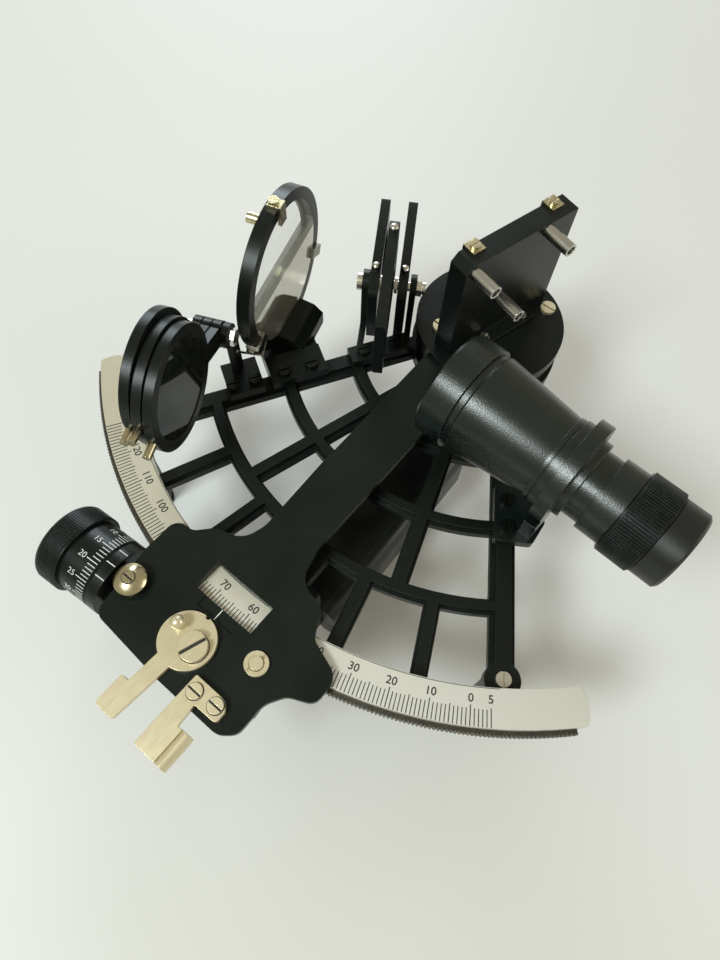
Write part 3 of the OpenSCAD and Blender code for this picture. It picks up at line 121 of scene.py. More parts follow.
class Finish:
    """A material whose colour, roughness and relief come from the piece's own place."""

    def __init__(self, name, metallic, roughness):
        self.material = bpy.data.materials.new(name)
        self.material.use_nodes = True
        self.tree = self.material.node_tree
        self.shader = self.tree.nodes["Principled BSDF"]
        self.set("Metallic", metallic)
        self.set("Roughness", roughness)
        self.place = self.node("ShaderNodeTexCoord", output=OBJECT_PLACE)

    def node(self, kind, feeds=None, output=0, **settings):
        made = self.tree.nodes.new(kind)
        for key, value in settings.items():
            setattr(made, key, value)
        for key, value in (feeds or {}).items():
            self.feed(made.inputs[key], value)
        return Level(self, made.outputs[output])

    def feed(self, socket, value):
        if isinstance(value, Level):
            self.tree.links.new(value.socket, socket)
        elif hasattr(value, "__len__") and len(value) == 3 and socket.type == "RGBA":
            socket.default_value = (value[0], value[1], value[2], 1.0)
        else:
            socket.default_value = value

    def set(self, name, value):
        self.feed(self.shader.inputs[name], value)

    def maths(self, operation, first, second):
        return self.node("ShaderNodeMath", {0: first, 1: second}, operation=operation)

    def noise(self, scale, detail=2.0, place=None):
        feeds = {"Vector": place or self.place, "Scale": scale, "Detail": detail}
        return self.node("ShaderNodeTexNoise", feeds)

    def stretched(self, along, scale):
        """Noise drawn out along one axis: along holds the scale of each axis."""
        feeds = {"Vector": self.place, "Scale": along}
        return self.noise(scale, 2.0, self.node("ShaderNodeMapping", feeds))

    def spread(self, level, low, high, to_low=0.0, to_high=1.0):
        feeds = {"Value": level, "From Min": low, "From Max": high, "To Min": to_low, "To Max": to_high}
        return self.node("ShaderNodeMapRange", feeds)

    def between(self, share, low, high):
        feeds = {MIX_SHARE: share, MIX_LOW: low, MIX_HIGH: high}
        return self.node("ShaderNodeMix", feeds, output=MIX_RESULT, data_type="RGBA")

    def axes(self):
        place = self.node("ShaderNodeSeparateXYZ", {0: self.place})
        made = place.socket.node
        return [Level(self, made.outputs[i]) for i in range(3)]

    def soft_edge(self, radius):
        return self.node("ShaderNodeBevel", {"Radius": radius}, samples=4)

    def edge_share(self, radius):
        """1 where an edge lies within the radius, 0 on flat ground."""
        plain_normal = self.node("ShaderNodeNewGeometry", output=SHADING_NORMAL)
        feeds = {0: self.soft_edge(radius), 1: plain_normal}
        same = self.node("ShaderNodeVectorMath", feeds, output=VECTOR_VALUE, operation="DOT_PRODUCT")
        return self.spread(same, FLAT_MATCH, EDGE_MATCH)

    def relief(self, height, distance, strength, edge):
        """Bumps of a height up to the distance, on edges softened to a radius."""
        feeds = {"Strength": strength, "Distance": distance, "Height": height, "Normal": self.soft_edge(edge)}
        self.set("Normal", self.node("ShaderNodeBump", feeds))


def enamel(name, dark, light, edge, rough, grain_scale=2400, gloss=0.25, depth=0.00004):
    """Satin paint on light alloy: fine grain, cloudy sheen, thin paler edges that are partly worn paint and
    partly a painted highlight.
    """
    finish = Finish(name, 0.0, rough)
    cloud = finish.noise(45, 3)
    grain = finish.noise(grain_scale, 2)
    ground = finish.between(finish.spread(cloud * 0.6 + grain * 0.4, 0.35, 0.65), dark, light)
    patchy = finish.spread(finish.noise(320, 3), 0.38, 0.66, 0.15, 1.0)
    # Paler colour along the edges: partly worn paint, partly a painted highlight.
    share = finish.edge_share(WORN_HIGHLIT_EDGE_REACH) * patchy * EDGE_WEAR_AND_HIGHLIGHT
    finish.set("Base Color", finish.between(share, ground, edge))
    finish.set("Roughness", finish.spread(cloud * 0.5 + grain * 0.5, 0.3, 0.7, rough - 0.07, rough + 0.09))
    finish.set("Specular IOR Level", gloss)
    finish.relief(grain, depth, 0.5, 0.00035)
    return finish.material


def bright_metal(name, low, high, rough, scale, along=(1, 1, 1), edge=FINE_EDGE, tarnish=None, grooves=0.03,
                 metal=1.0):
    """Machined metal with fine drawn lines, light tarnish and soft edges."""
    finish = Finish(name, metal, rough)
    lines = finish.stretched(along, scale)
    stain = finish.spread(finish.noise(160, 3), 0.42, 0.75)
    tint = finish.between(lines, low, high)
    if tarnish:
        tint = finish.between(stain * 0.55, tint, tarnish)
    finish.set("Base Color", tint)
    finish.set("Roughness", finish.spread(lines * 0.6 + stain * 0.4, 0.2, 0.8, rough - 0.05, rough + 0.07))
    finish.relief(lines, LINE_DEPTH, grooves, edge)
    return finish.material


def limb_finish():
    """Fine lines that run round the pivot, on a pale yellowish metal; painted light makes it darker and
    yellower toward the left end and paler toward the right.
    """
    finish = Finish("brushed limb", 0.45, 0.36)
    x, y, z = finish.axes()
    radius = finish.node("ShaderNodeVectorMath", {0: finish.node("ShaderNodeCombineXYZ", {0: x, 1: y})},
                         output=VECTOR_VALUE, operation="LENGTH")
    turn = finish.maths("ARCTAN2", y, x)
    round_pivot = finish.node("ShaderNodeCombineXYZ", {0: radius * 5200.0, 1: turn * 26.0, 2: z * 4000.0})
    lines = finish.noise(1.0, 3, round_pivot)
    cloud = finish.noise(38, 3)
    # Painted light: the limb is shaded darker and yellower toward its left end and lit paler toward its right
    # end.
    painted_light_share = finish.spread(x + cloud * 0.06, -0.11, 0.11)
    pale = finish.between(painted_light_share, (0.56, 0.49, 0.31), (0.80, 0.80, 0.76))
    finish.set("Base Color", finish.between(lines * 0.35 + cloud * 0.2, pale, (0.82, 0.80, 0.73)))
    finish.set("Roughness", finish.spread(lines, 0.3, 0.7, 0.3, 0.46))
    finish.relief(lines, LINE_DEPTH, 0.3, 0.0003)
    return finish.material


def paint(name, colour, rough):
    """Paint rubbed into an engraved mark: a little uneven."""
    finish = Finish(name, 0.0, rough)
    patchy = finish.noise(2600, 2)
    worn = tuple(c * 0.8 + 0.02 for c in colour)
    finish.set("Base Color", finish.between(finish.spread(patchy, 0.35, 0.75), colour, worn))
    finish.set("Roughness", finish.spread(patchy, 0.3, 0.7, rough - 0.08, rough + 0.1))
    return finish.material


def plastic(name, dark, light, rough):
    """Moulded plastic with a fine grain and a cloudy sheen."""
    finish = Finish(name, 0.0, rough)
    grain = finish.noise(3200, 2)
    cloud = finish.noise(70, 2)
    finish.set("Base Color", finish.between(grain * 0.5 + cloud * 0.5, dark, light))
    finish.set("Roughness", finish.spread(cloud, 0.3, 0.7, rough - 0.06, rough + 0.1))
    finish.relief(grain, 0.00005, 0.5, 0.0004)
    return finish.material


def clear_glass(name, tint):
    """Coated glass, with a faint film of dust."""
    finish = Finish(name, 0.0, 0.02)
    dust = finish.spread(finish.noise(420, 4), 0.55, 0.8)
    finish.set("Base Color", finish.between(dust * 0.3, tint, (0.75, 0.76, 0.74)))
    finish.set("Roughness", finish.spread(dust, 0.0, 1.0, 0.01, 0.12))
    finish.set("Alpha", dust * 0.1 + 0.25)
    finish.set("Coat Weight", 0.6)
    return finish.material


def dark_glass(name, tint):
    """Shade glass that lets almost nothing through, with a faint film of dust."""
    finish = Finish(name, 0.0, 0.03)
    dust = finish.spread(finish.noise(300, 4), 0.55, 0.8)
    finish.set("Base Color", finish.between(dust * 0.12, tint, (0.25, 0.26, 0.24)))
    finish.set("Roughness", finish.spread(dust, 0.0, 1.0, 0.02, 0.14))
    finish.set("Alpha", dust * 0.04 + 0.93)
    return finish.material


def silvered(name):
    """A mirror with a thin film in patches."""
    finish = Finish(name, 1.0, 0.015)
    film = finish.spread(finish.noise(260, 4), 0.55, 0.85)
    finish.set("Base Color", finish.between(film * 0.3, (0.88, 0.89, 0.89), (0.6, 0.6, 0.58)))
    finish.set("Roughness", finish.spread(film, 0.0, 1.0, 0.01, 0.1))
    return finish.material


def half_silvered():
    """Silvered on the half next to the frame, clear on the other, with a grey band of varnish between."""
    finish = Finish("half silvered glass", 0.0, 0.03)
    up = finish.axes()[2] - RING_Z * MM
    silver = finish.spread(up, 0.0004, 0.0)
    band = finish.spread(up, BAND_TOP + 0.0002, BAND_TOP - 0.0002) * (1.0 - silver)
    film = finish.noise(240, 3)
    ground = finish.between(silver, (0.80, 0.86, 0.82), (0.90, 0.88, 0.80))
    finish.set("Base Color", finish.between(band * 0.9, ground, (0.26, 0.27, 0.22)))
    finish.set("Metallic", silver * 0.8 + band * 0.15)
    finish.set("Roughness", finish.spread(film, 0.3, 0.8, 0.03, 0.14))
    finish.set("Alpha", silver * 0.78 + band * 0.62 + 0.14)
    return finish.material


def clip_finish():
    """Brass on the upper clip and studs; on the lower clips and the spring a steel colour, darkened as
    painted shade.
    """
    finish = Finish("horizon clips", 1.0, 0.27)
    upper = finish.spread(finish.axes()[2], CLIP_CHANGE - 0.0005, CLIP_CHANGE + 0.0005)
    lines = finish.noise(1400)
    brass = finish.between(lines, (0.58, 0.52, 0.33), (0.70, 0.64, 0.45))
    # Steel of the lower clips and spring, made darker than bare steel as painted shade.
    steel = finish.between(lines, (0.22, 0.22, 0.19), (0.42, 0.41, 0.37))
    finish.set("Base Color", finish.between(upper, steel, brass))
    finish.set("Roughness", finish.spread(lines, 0.3, 0.7, 0.22, 0.34))
    finish.relief(lines, LINE_DEPTH, 0.03, FINE_EDGE)
    return finish.material


def screw_finish():
    """Bright where the screws hold the right leg, blackened on the brackets."""
    finish = Finish("frame screws", 0.8, 0.3)
    x, y = finish.axes()[:2]
    away = finish.node("ShaderNodeCombineXYZ", {0: x - LEG_SCREW[0] * MM, 1: y - LEG_SCREW[1] * MM})
    gap = finish.node("ShaderNodeVectorMath", {0: away}, output=VECTOR_VALUE, operation="LENGTH")
    bright = finish.spread(gap, 0.009, 0.007)
    lines = finish.noise(1500)
    steel = finish.between(lines, (0.62, 0.60, 0.52), (0.74, 0.72, 0.64))
    black = finish.between(lines, (0.012, 0.016, 0.013), (0.035, 0.04, 0.035))
    finish.set("Base Color", finish.between(bright, black, steel))
    finish.set("Roughness", finish.spread(lines, 0.3, 0.7, 0.24, 0.36))
    finish.relief(lines, LINE_DEPTH, 0.05, FINE_EDGE)
    return finish.material


# The third colour of each enamel is its edge colour: worn paint and painted highlight.
BLACK = enamel("satin black", (0.0045, 0.0075, 0.006), (0.008, 0.012, 0.0095), (0.065, 0.080, 0.072), 0.33)
BLACK_FINE = enamel("satin black, fine", (0.0045, 0.0065, 0.0055), (0.0075, 0.0105, 0.009),
                    (0.06, 0.07, 0.065), 0.28, grain_scale=3600, gloss=0.24)
BLACK_TUBE = enamel("telescope black", (0.0045, 0.0085, 0.007), (0.009, 0.0145, 0.012), (0.06, 0.075, 0.068),
                    0.27, grain_scale=1900, gloss=0.6, depth=0.00009)
PLASTIC = plastic("black plastic", (0.005, 0.0065, 0.006), (0.010, 0.013, 0.012), 0.34)
LIMB = limb_finish()
RACK = bright_metal("darkened rack", (0.05, 0.047, 0.04), (0.16, 0.15, 0.13), 0.42, 1200,
                    along=(1, 1, 0.2), grooves=0.08)
STEEL = bright_metal("turned steel", (0.50, 0.50, 0.47), (0.62, 0.61, 0.57), 0.26, 1500)
PALE = bright_metal("pale brass", (0.75, 0.66, 0.45), (0.83, 0.75, 0.54), 0.34, 1300, along=(1, 0.10, 1),
                    edge=0.0003, tarnish=(0.68, 0.59, 0.39), grooves=0.05, metal=0.6)
BRASS = bright_metal("turned brass", (0.60, 0.54, 0.35), (0.70, 0.64, 0.45), 0.27, 1400,
                     tarnish=(0.44, 0.38, 0.22))
LENS = clear_glass("coated lens", (0.35, 0.45, 0.55))
SHADE = dark_glass("dark shade glass", (0.010, 0.013, 0.011))
HALF = half_silvered()
FRAME_SCREWS = screw_finish()
CLIPS = clip_finish()
MIRROR = silvered("mirror silver")
# Black filling of the engraved marks, also used as the painted shade in the screw gaps and slots.
MARK_AND_SHADE_BLACK = paint("black filling and painted shade", (0.018, 0.018, 0.017), 0.55)
MARK_WHITE = paint("white filling", (0.80, 0.82, 0.80), 0.5)
NICKEL = bright_metal("nickelled brass", (0.68, 0.66, 0.59), (0.82, 0.80, 0.73), 0.22, 1200)

NODE_FINISH = {
    "frame_casting": BLACK, "limb_arc": LIMB, "limb_rack": RACK, "pivot_bush": BRASS, "pivot_leg": BLACK,
    "arc_legs": BLACK, "handle_grip": PLASTIC, "handle_brackets": BLACK, "frame_screws": FRAME_SCREWS,
    "telescope_bracket": BLACK_TUBE, "telescope_tube": BLACK_TUBE, "objective_cell": BLACK_TUBE,
    "objective_lens": LENS, "horizon_bracket": BLACK, "horizon_ring": BLACK_FINE, "horizon_glass": HALF,
    "horizon_clips": CLIPS, "index_shade_bracket": BLACK, "index_shade_pin": NICKEL,
    "horizon_shade_bracket": BLACK, "horizon_shade_pin": NICKEL, "shade_washers": NICKEL,
    "arm_plate": BLACK, "arm_disc": BLACK_FINE, "pivot_shaft": STEEL, "pivot_nut": BRASS,
    "index_mirror_frame": BLACK_FINE, "index_mirror_glass": MIRROR, "index_mirror_clips": BRASS,
    "index_mirror_studs": STEEL, "finger_piece": PALE, "arm_screws": PALE, "carriage_pivot": BRASS,
    "lever_screw": PALE, "ring_nut": PALE, "worm_spring": STEEL, "release_lever": PALE,
    "worm_carriage": BLACK_FINE, "index_collar": BLACK_FINE, "worm_shaft": STEEL,
    "micrometer_drum": BLACK_FINE, "micrometer_knob": BLACK_FINE, "focus_ring": BLACK_FINE,
    "eyepiece": PLASTIC, "eye_lens": LENS,
}
for number in (1, 2, 3):
    NODE_FINISH["index_shade_%d" % number] = BLACK_FINE
    NODE_FINISH["index_shade_glass_%d" % number] = SHADE
    NODE_FINISH["horizon_shade_%d" % number] = BLACK_FINE
    NODE_FINISH["horizon_shade_glass_%d" % number] = SHADE
    NODE_FINISH["horizon_shade_knob_%d" % number] = BRASS
for name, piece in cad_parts.items():
    piece.data.materials.clear()
    piece.data.materials.append(NODE_FINISH[name])


# Pieces

def as_piece(name, mesh, body, finish=None):
    """A finished mesh, already in its place, that rides on a body."""
    if finish:
        mesh.materials.clear()
        mesh.materials.append(finish)
    piece = bpy.data.objects.new(name, mesh)
    scene.collection.objects.link(piece)
    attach(piece, body)
    return piece


def smooth_faces(mesh):
    for face in mesh.polygons:
        face.use_smooth = True
    return mesh


def marks_tree():
    """Bars set round the Z axis: the source of every scale line and knurl."""
    tree = bpy.data.node_groups.new("bars_round_axis", "GeometryNodeTree")
    tree.is_modifier = True
    wanted = [("Geometry", "Geometry"), ("Count", "Int"), ("First Angle", "Float"), ("Step", "Float"),
              ("Radius", "Float"), ("Depth", "Float"), ("Width", "Float"), ("Length", "Float"),
              ("Start", "Float"), ("Every", "Int"), ("Leave Out", "Float"), ("Finish", "Material")]
    for title, kind in wanted:
        tree.interface.new_socket(title, in_out="INPUT", socket_type="NodeSocket" + kind)
    tree.interface.new_socket("Geometry", in_out="OUTPUT", socket_type="NodeSocketGeometry")

    def node(kind, feeds=None, **settings):
        made = tree.nodes.new(kind)
        for key, value in settings.items():
            setattr(made, key, value)
        for key, value in (feeds or {}).items():
            if isinstance(value, bpy.types.NodeSocket):
                tree.links.new(value, made.inputs[key])
            else:
                made.inputs[key].default_value = value
        return made

    def maths(operation, first, second):
        return node("ShaderNodeMath", {0: first, 1: second}, operation=operation).outputs[0]

    asked = node("NodeGroupInput").outputs
    line = node("GeometryNodeMeshLine", {"Count": asked["Count"], "Offset": (0, 0, 0)})
    index = node("GeometryNodeInputIndex").outputs[0]
    angle = maths("ADD", maths("MULTIPLY", index, asked["Step"]), asked["First Angle"])
    rotation = node("ShaderNodeCombineXYZ", {"Z": angle}).outputs[0]
    size = node("ShaderNodeCombineXYZ", {"X": asked["Depth"], "Y": asked["Width"], "Z": asked["Length"]})
    bar = node("GeometryNodeMeshCube", {"Size": size.outputs[0]})
    centre = node("ShaderNodeCombineXYZ", {
        "X": maths("ADD", asked["Radius"], maths("MULTIPLY", asked["Depth"], 0.5)),
        "Z": maths("ADD", asked["Start"], maths("MULTIPLY", asked["Length"], 0.5))})
    placed = node("GeometryNodeTransform", {"Geometry": bar.outputs[0], "Translation": centre.outputs[0]})
    left_over = maths("GREATER_THAN", maths("MODULO", index, asked["Every"]), 0.5)
    kept = maths("MAXIMUM", left_over, maths("SUBTRACT", 1.0, asked["Leave Out"]))
    instances = node("GeometryNodeInstanceOnPoints", {
        "Points": line.outputs[0], "Selection": kept, "Instance": placed.outputs[0], "Rotation": rotation})
    real = node("GeometryNodeRealizeInstances", {"Geometry": instances.outputs[0]})
    painted = node("GeometryNodeSetMaterial", {"Geometry": real.outputs[0], "Material": asked["Finish"]})
    done = node("NodeGroupOutput")
    tree.links.new(painted.outputs[0], done.inputs[0])
    return tree


BARS = marks_tree()


def bars(finish, place=None, **sizes):
    """A mesh of bars round an axis. Angles in degrees, lengths in millimetres."""
    mesh = bpy.data.meshes.new("bars")
    holder = bpy.data.objects.new("bars_holder", mesh)
    scene.collection.objects.link(holder)
    modifier = holder.modifiers.new("bars", "NODES")
    modifier.node_group = BARS
    given = {"Count": sizes["count"], "First Angle": math.radians(sizes["first"]),
             "Step": math.radians(sizes["step"]), "Radius": sizes["radius"] * MM,
             "Depth": sizes["depth"] * MM,
             "Width": sizes["width"] * MM, "Length": sizes["length"] * MM, "Start": sizes["start"] * MM,
             "Every": sizes.get("leave_every", 1), "Leave Out": 1.0 if "leave_every" in sizes else 0.0,
             "Finish": finish}
    for socket in BARS.interface.items_tree:
        if socket.in_out == "INPUT" and socket.name in given:
            modifier[socket.identifier] = given[socket.name]
    bpy.context.view_layer.update()
    graph = bpy.context.evaluated_depsgraph_get()
    made = bpy.data.meshes.new_from_object(holder.evaluated_get(graph))
    bpy.data.objects.remove(holder)
    if place:
        made.transform(place)
    return made


def joined(meshes, name, finish):
    """One mesh out of several."""
    whole = bmesh.new()
    for mesh in meshes:
        whole.from_mesh(mesh)
    made = bpy.data.meshes.new(name)
    whole.to_mesh(made)
    whole.free()
    for mesh in meshes:
        bpy.data.meshes.remove(mesh)
    made.materials.clear()
    made.materials.append(finish)
    for face in made.polygons:
        face.material_index = 0
    return made


# Height of a digit as a share of the font's size
DIGIT_SHARE = 0.72


def digits(text, height, relief, thin):
    """A plain number as a mesh, centred on its origin in the XY plane. Its strokes are thinned by a share."""
    curve = bpy.data.curves.new("digits", "FONT")
    curve.body = text
    curve.size = height * MM / DIGIT_SHARE
    curve.align_x = "CENTER"
    curve.align_y = "CENTER"
    curve.extrude = relief * MM / 2
    curve.offset = -thin * height * MM
    curve.resolution_u = 4
    holder = bpy.data.objects.new("digits_holder", curve)
    scene.collection.objects.link(holder)
    bpy.context.view_layer.update()
    graph = bpy.context.evaluated_depsgraph_get()
    mesh = bpy.data.meshes.new_from_object(holder.evaluated_get(graph))
    bpy.data.objects.remove(holder)
    bpy.data.curves.remove(curve)
    return mesh


def turned(outline, steps, name):
    """A closed solid of revolution round Z from [radius, height] points in millimetres, axis to axis."""
    work = bmesh.new()
    rings = []
    for radius, height in outline:
        if radius == 0:
            rings.append([work.verts.new((0, 0, height * MM))])
            continue
        ring = []
        for i in range(steps):
            angle = 2 * math.pi * i / steps
            spot = (radius * math.cos(angle), radius * math.sin(angle), height)
            ring.append(work.verts.new(Vector(spot) * MM))
        rings.append(ring)
    for low, high in zip(rings, rings[1:]):
        for i in range(steps):
            k = (i + 1) % steps
            if len(low) == 1:
                work.faces.new((low[0], high[k], high[i]))
            elif len(high) == 1:
                work.faces.new((low[i], low[k], high[0]))
            else:
                work.faces.new((low[i], low[k], high[k], high[i]))
    bmesh.ops.recalc_face_normals(work, faces=work.faces)
    mesh = bpy.data.meshes.new(name)
    work.to_mesh(mesh)
    work.free()
    return smooth_faces(mesh)


def arc_band(r1, r2, low, high, start, end, steps, name):
    """A flat curved bar round the pivot, angles in degrees."""
    work = bmesh.new()
    rows = []
    for i in range(steps + 1):
        angle = math.radians(start + (end - start) * i / steps)
        spot = Vector((math.cos(angle), math.sin(angle), 0)) * MM
        corners = ((r1, low), (r2, low), (r2, high), (r1, high))
        rows.append([work.verts.new(spot * r + Vector((0, 0, z * MM))) for r, z in corners])
    for one, two in zip(rows, rows[1:]):
        for k in range(4):
            n = (k + 1) % 4
            work.faces.new((one[k], one[n], two[n], two[k]))
    work.faces.new(rows[0])
    work.faces.new(list(reversed(rows[-1])))
    bmesh.ops.recalc_face_normals(work, faces=work.faces)
    mesh = bpy.data.meshes.new(name)
    work.to_mesh(mesh)
    work.free()
    return mesh


def flat_ring(radius, width, low, high, place, steps=48):
    """A thin flat ring round Z, closed on itself. Millimetres."""
    work = bmesh.new()
    rings = []
    for r, z in ((radius, low), (radius + width, low), (radius + width, high), (radius, high)):
        angles = [2 * math.pi * i / steps for i in range(steps)]
        rings.append([work.verts.new(Vector((r * math.cos(a), r * math.sin(a), z)) * MM) for a in angles])
    for low_ring, high_ring in zip(rings, rings[1:] + rings[:1]):
        for i in range(steps):
            k = (i + 1) % steps
            work.faces.new((low_ring[i], low_ring[k], high_ring[k], high_ring[i]))
    bmesh.ops.recalc_face_normals(work, faces=work.faces)
    mesh = bpy.data.meshes.new("flat_ring")
    work.to_mesh(mesh)
    work.free()
    mesh.transform(place)
    return mesh


def block(x1, x2, y1, y2, z1, z2, place):
    """A small bar between two corners, in millimetres, then put in its place."""
    work = bmesh.new()
    bmesh.ops.create_cube(work, size=1.0)
    mesh = bpy.data.meshes.new("block")
    work.to_mesh(mesh)
    work.free()
    fit = Matrix.Translation(Vector(((x1 + x2) / 2, (y1 + y2) / 2, (z1 + z2) / 2)) * MM)
    grow = Matrix.Diagonal(((x2 - x1) * MM, (y2 - y1) * MM, (z2 - z1) * MM, 1))
    mesh.transform(place @ fit @ grow)
    return mesh


def wire(points, radius, place, name, steps=10):
    """A round wire through the points, with closed ends. Millimetres."""
    curve = bpy.data.curves.new(name, "CURVE")
    curve.dimensions = "3D"
    curve.bevel_depth = radius * MM
    curve.bevel_resolution = 3
    curve.use_fill_caps = True
    curve.resolution_u = steps
    spline = curve.splines.new("NURBS")
    spline.points.add(len(points) - 1)
    for slot, point in zip(spline.points, points):
        slot.co = (point[0] * MM, point[1] * MM, point[2] * MM, 1)
    spline.use_endpoint_u = True
    spline.order_u = 3
    holder = bpy.data.objects.new(name + "_holder", curve)
    scene.collection.objects.link(holder)
    bpy.context.view_layer.update()
    graph = bpy.context.evaluated_depsgraph_get()
    mesh = bpy.data.meshes.new_from_object(holder.evaluated_get(graph))
    bpy.data.objects.remove(holder)
    bpy.data.curves.remove(curve)
    mesh.transform(place)
    return smooth_faces(mesh)


def turn_z(degrees):
    return Matrix.Rotation(math.radians(degrees), 4, "Z")


def shift(x, y, z):
    return Matrix.Translation((x * MM, y * MM, z * MM))


IN_ARM = turn_z(ARM_TURN)
AT_WORM = turn_z(ARM_TURN + WORM_TURN) @ shift(0, -WORM_DIST, WORM_Z)
AT_DOME = shift(*DOME_SPOT, 0) @ turn_z(ARM_TURN)
# Turns the bars' axis Z onto the worm's axis, with angle 0 toward the pivot
ALONG_WORM = AT_WORM @ Matrix(((0, 0, 1, 0), (1, 0, 0, 0), (0, 1, 0, 0), (0, 0, 0, 1)))


# Limb: scale, numbers and the border line

def limb_angle(reading):
    return ZERO_ANGLE - reading / 2


SCALE_LOW = -5
SCALE_HIGH = 130
TICK_OUT = 161.8
NUMBER_R = 153.0
BORDER_R = 149.2
BORDER_W = 0.22
BORDER_PAST = 1.2
# The filling's height in the limb's lines, and how deep it lies in the metal
LIMB_FILL = 0.05
LIMB_SUNK = 0.02


def limb_lines(reach, width, first, every, **more):
    """Lines from a first reading to the scale's end, one for every so many readings."""
    return bars(MARK_AND_SHADE_BLACK, count=(SCALE_HIGH - first) // every + 1, first=limb_angle(first), step=-every / 2,
                radius=TICK_OUT - reach, depth=reach, width=width, length=LIMB_FILL,
                start=LIMB_TOP - LIMB_SUNK, **more)


limb_parts = [
    limb_lines(6.7, 0.36, 0, 10),
    limb_lines(6.2, 0.34, SCALE_LOW, 10),
    limb_lines(5.6, 0.33, SCALE_LOW, 1, leave_every=5)]
for reading in list(range(0, SCALE_HIGH + 1, 10)) + [-5]:
    spot = turn_z(limb_angle(reading)) @ shift(NUMBER_R, 0, LIMB_TOP + 0.005)
    number = digits(str(abs(reading)), 2.8, LIMB_FILL, -0.018)
    number.transform(spot @ turn_z(90))
    limb_parts.append(number)
limb_parts.append(arc_band(BORDER_R, BORDER_R + BORDER_W, LIMB_TOP - LIMB_SUNK, LIMB_TOP + LIMB_SUNK,
                           limb_angle(SCALE_LOW) + BORDER_PAST, limb_angle(SCALE_HIGH) - BORDER_PAST, 240,
                           "border"))
as_piece("limb_scale", joined(limb_parts, "limb_scale", MARK_AND_SHADE_BLACK), "frame")

# Index mark, on the floor of its notch in the arm, 1 mm below the arm's top
MARK_HALF_W = 0.17
MARK_OUT = -164.4
MARK_IN = -160.1
MARK_LOW = ARM_TOP - 1.02
MARK_TOP = ARM_TOP - 0.95
mark = block(-MARK_HALF_W, MARK_HALF_W, MARK_OUT, MARK_IN, MARK_LOW, MARK_TOP, IN_ARM)
as_piece("index_mark", mark, "index_arm", MARK_WHITE)


# Drum: sixty divisions, a number at each fifth, and the lines on the collar

DRUM_EDGE = DRUM_END - 1.1
NUMBER_BACK = 7.0
DIVISIONS = 60
DIVISION_TURN = 6.0
COLLAR_TURNS = (0, -24, 24)
# The filling's height in the drum's lines, and how deep it lies in the metal
DRUM_FILL = 0.1
DRUM_SUNK = 0.05


def drum_angle(division):
    return INDEX_LINE_ANGLE + DIVISION_TURN * (division - DRUM_READING)


def worm_lines(count, first, step, width, length, start, **more):
    """White lines on the drum or the collar, along the worm."""
    return bars(MARK_WHITE, ALONG_WORM, count=count, first=first, step=step, radius=DRUM_R - DRUM_SUNK,
                depth=DRUM_FILL, width=width, length=length, start=start, **more)


drum_parts = [
    worm_lines(DIVISIONS, drum_angle(0), DIVISION_TURN, 0.26, 3.4, DRUM_EDGE - 3.4, leave_every=5),
    worm_lines(DIVISIONS // 5, drum_angle(0), 5 * DIVISION_TURN, 0.30, 4.9, DRUM_EDGE - 4.9)]


def wrapped(mesh, start, angle, radius):
    """Lays a flat mesh on the drum: its X runs along the worm, its Y round it."""
    for vertex in mesh.vertices:
        u, v, w = vertex.co
        turn = math.radians(angle) - v / (radius * MM)
        reach = radius * MM + w
        vertex.co = (start * MM + u, reach * math.cos(turn), reach * math.sin(turn))
    mesh.transform(AT_WORM)
    return mesh


for division in range(0, DIVISIONS, 5):
    number = digits(str(division), 2.25, 0.16, 0.012)
    drum_parts.append(wrapped(number, DRUM_EDGE - NUMBER_BACK, drum_angle(division), DRUM_R + 0.03))
as_piece("drum_scale", joined(drum_parts, "drum_scale", MARK_WHITE), "micrometer")

collar_parts = []
for turn in COLLAR_TURNS:
    collar_parts.append(worm_lines(1, INDEX_LINE_ANGLE + turn, 0, 0.34, 3.9, COLLAR_START + 0.1))
as_piece("collar_lines", joined(collar_parts, "collar_lines", MARK_WHITE), "worm_carriage")

# Knurl and rim of the micrometer's knob
KNOB_RIBS = 112
KNOB_RIM = [(0, 0), (KNOB_R + 0.12, 0), (KNOB_R + 0.22, 0.12), (KNOB_R + 0.12, 0.35), (KNOB_R - 0.3, 0.4),
            (0, 0.4)]
knurl = bars(BLACK_FINE, ALONG_WORM, count=KNOB_RIBS, first=0, step=360 / KNOB_RIBS, radius=KNOB_R - 0.1,
             depth=0.3, width=0.42, length=7.4, start=KNOB_START + 2.2)
as_piece("knob_knurl", knurl, "micrometer")
knob_rim = turned(KNOB_RIM, 96, "knob_rim")
knob_rim.transform(ALONG_WORM @ shift(0, 0, KNOB_END - 0.42))
as_piece("knob_rim", knob_rim, "micrometer", BLACK_FINE)

# Bright heads on the finger pins of the index shades, one at each end of a shade
PIN_HEAD = [(0, -0.2), (1.62, -0.2), (1.62, 1.35), (1.35, 1.7), (0.7, 1.92), (0, 1.98)]
HEAD_SPOTS = ((4.0, 4.9, 0), (-4.0, -28.1, 180))
for number, tilt in SHADE_TILTS.items():
    along = FIRST_SHADE + (number - 1) * SHADE_PITCH
    hinge = turn_z(SHADE_PIN_TURN) @ shift(along, SHADE_PIN_SIDE, SHADE_PIN_Z)
    hinge = hinge @ Matrix.Rotation(math.radians(tilt), 4, "X")
    heads = []
    for y, z, flip in HEAD_SPOTS:
        head = turned(PIN_HEAD, 24, "head")
        head.transform(hinge @ shift(0, y, z) @ Matrix.Rotation(math.radians(flip), 4, "X"))
        heads.append(head)
    as_piece("shade_pin_heads_%d" % number, smooth_faces(joined(heads, "heads", NICKEL)),
             "index_shade_%d" % number)

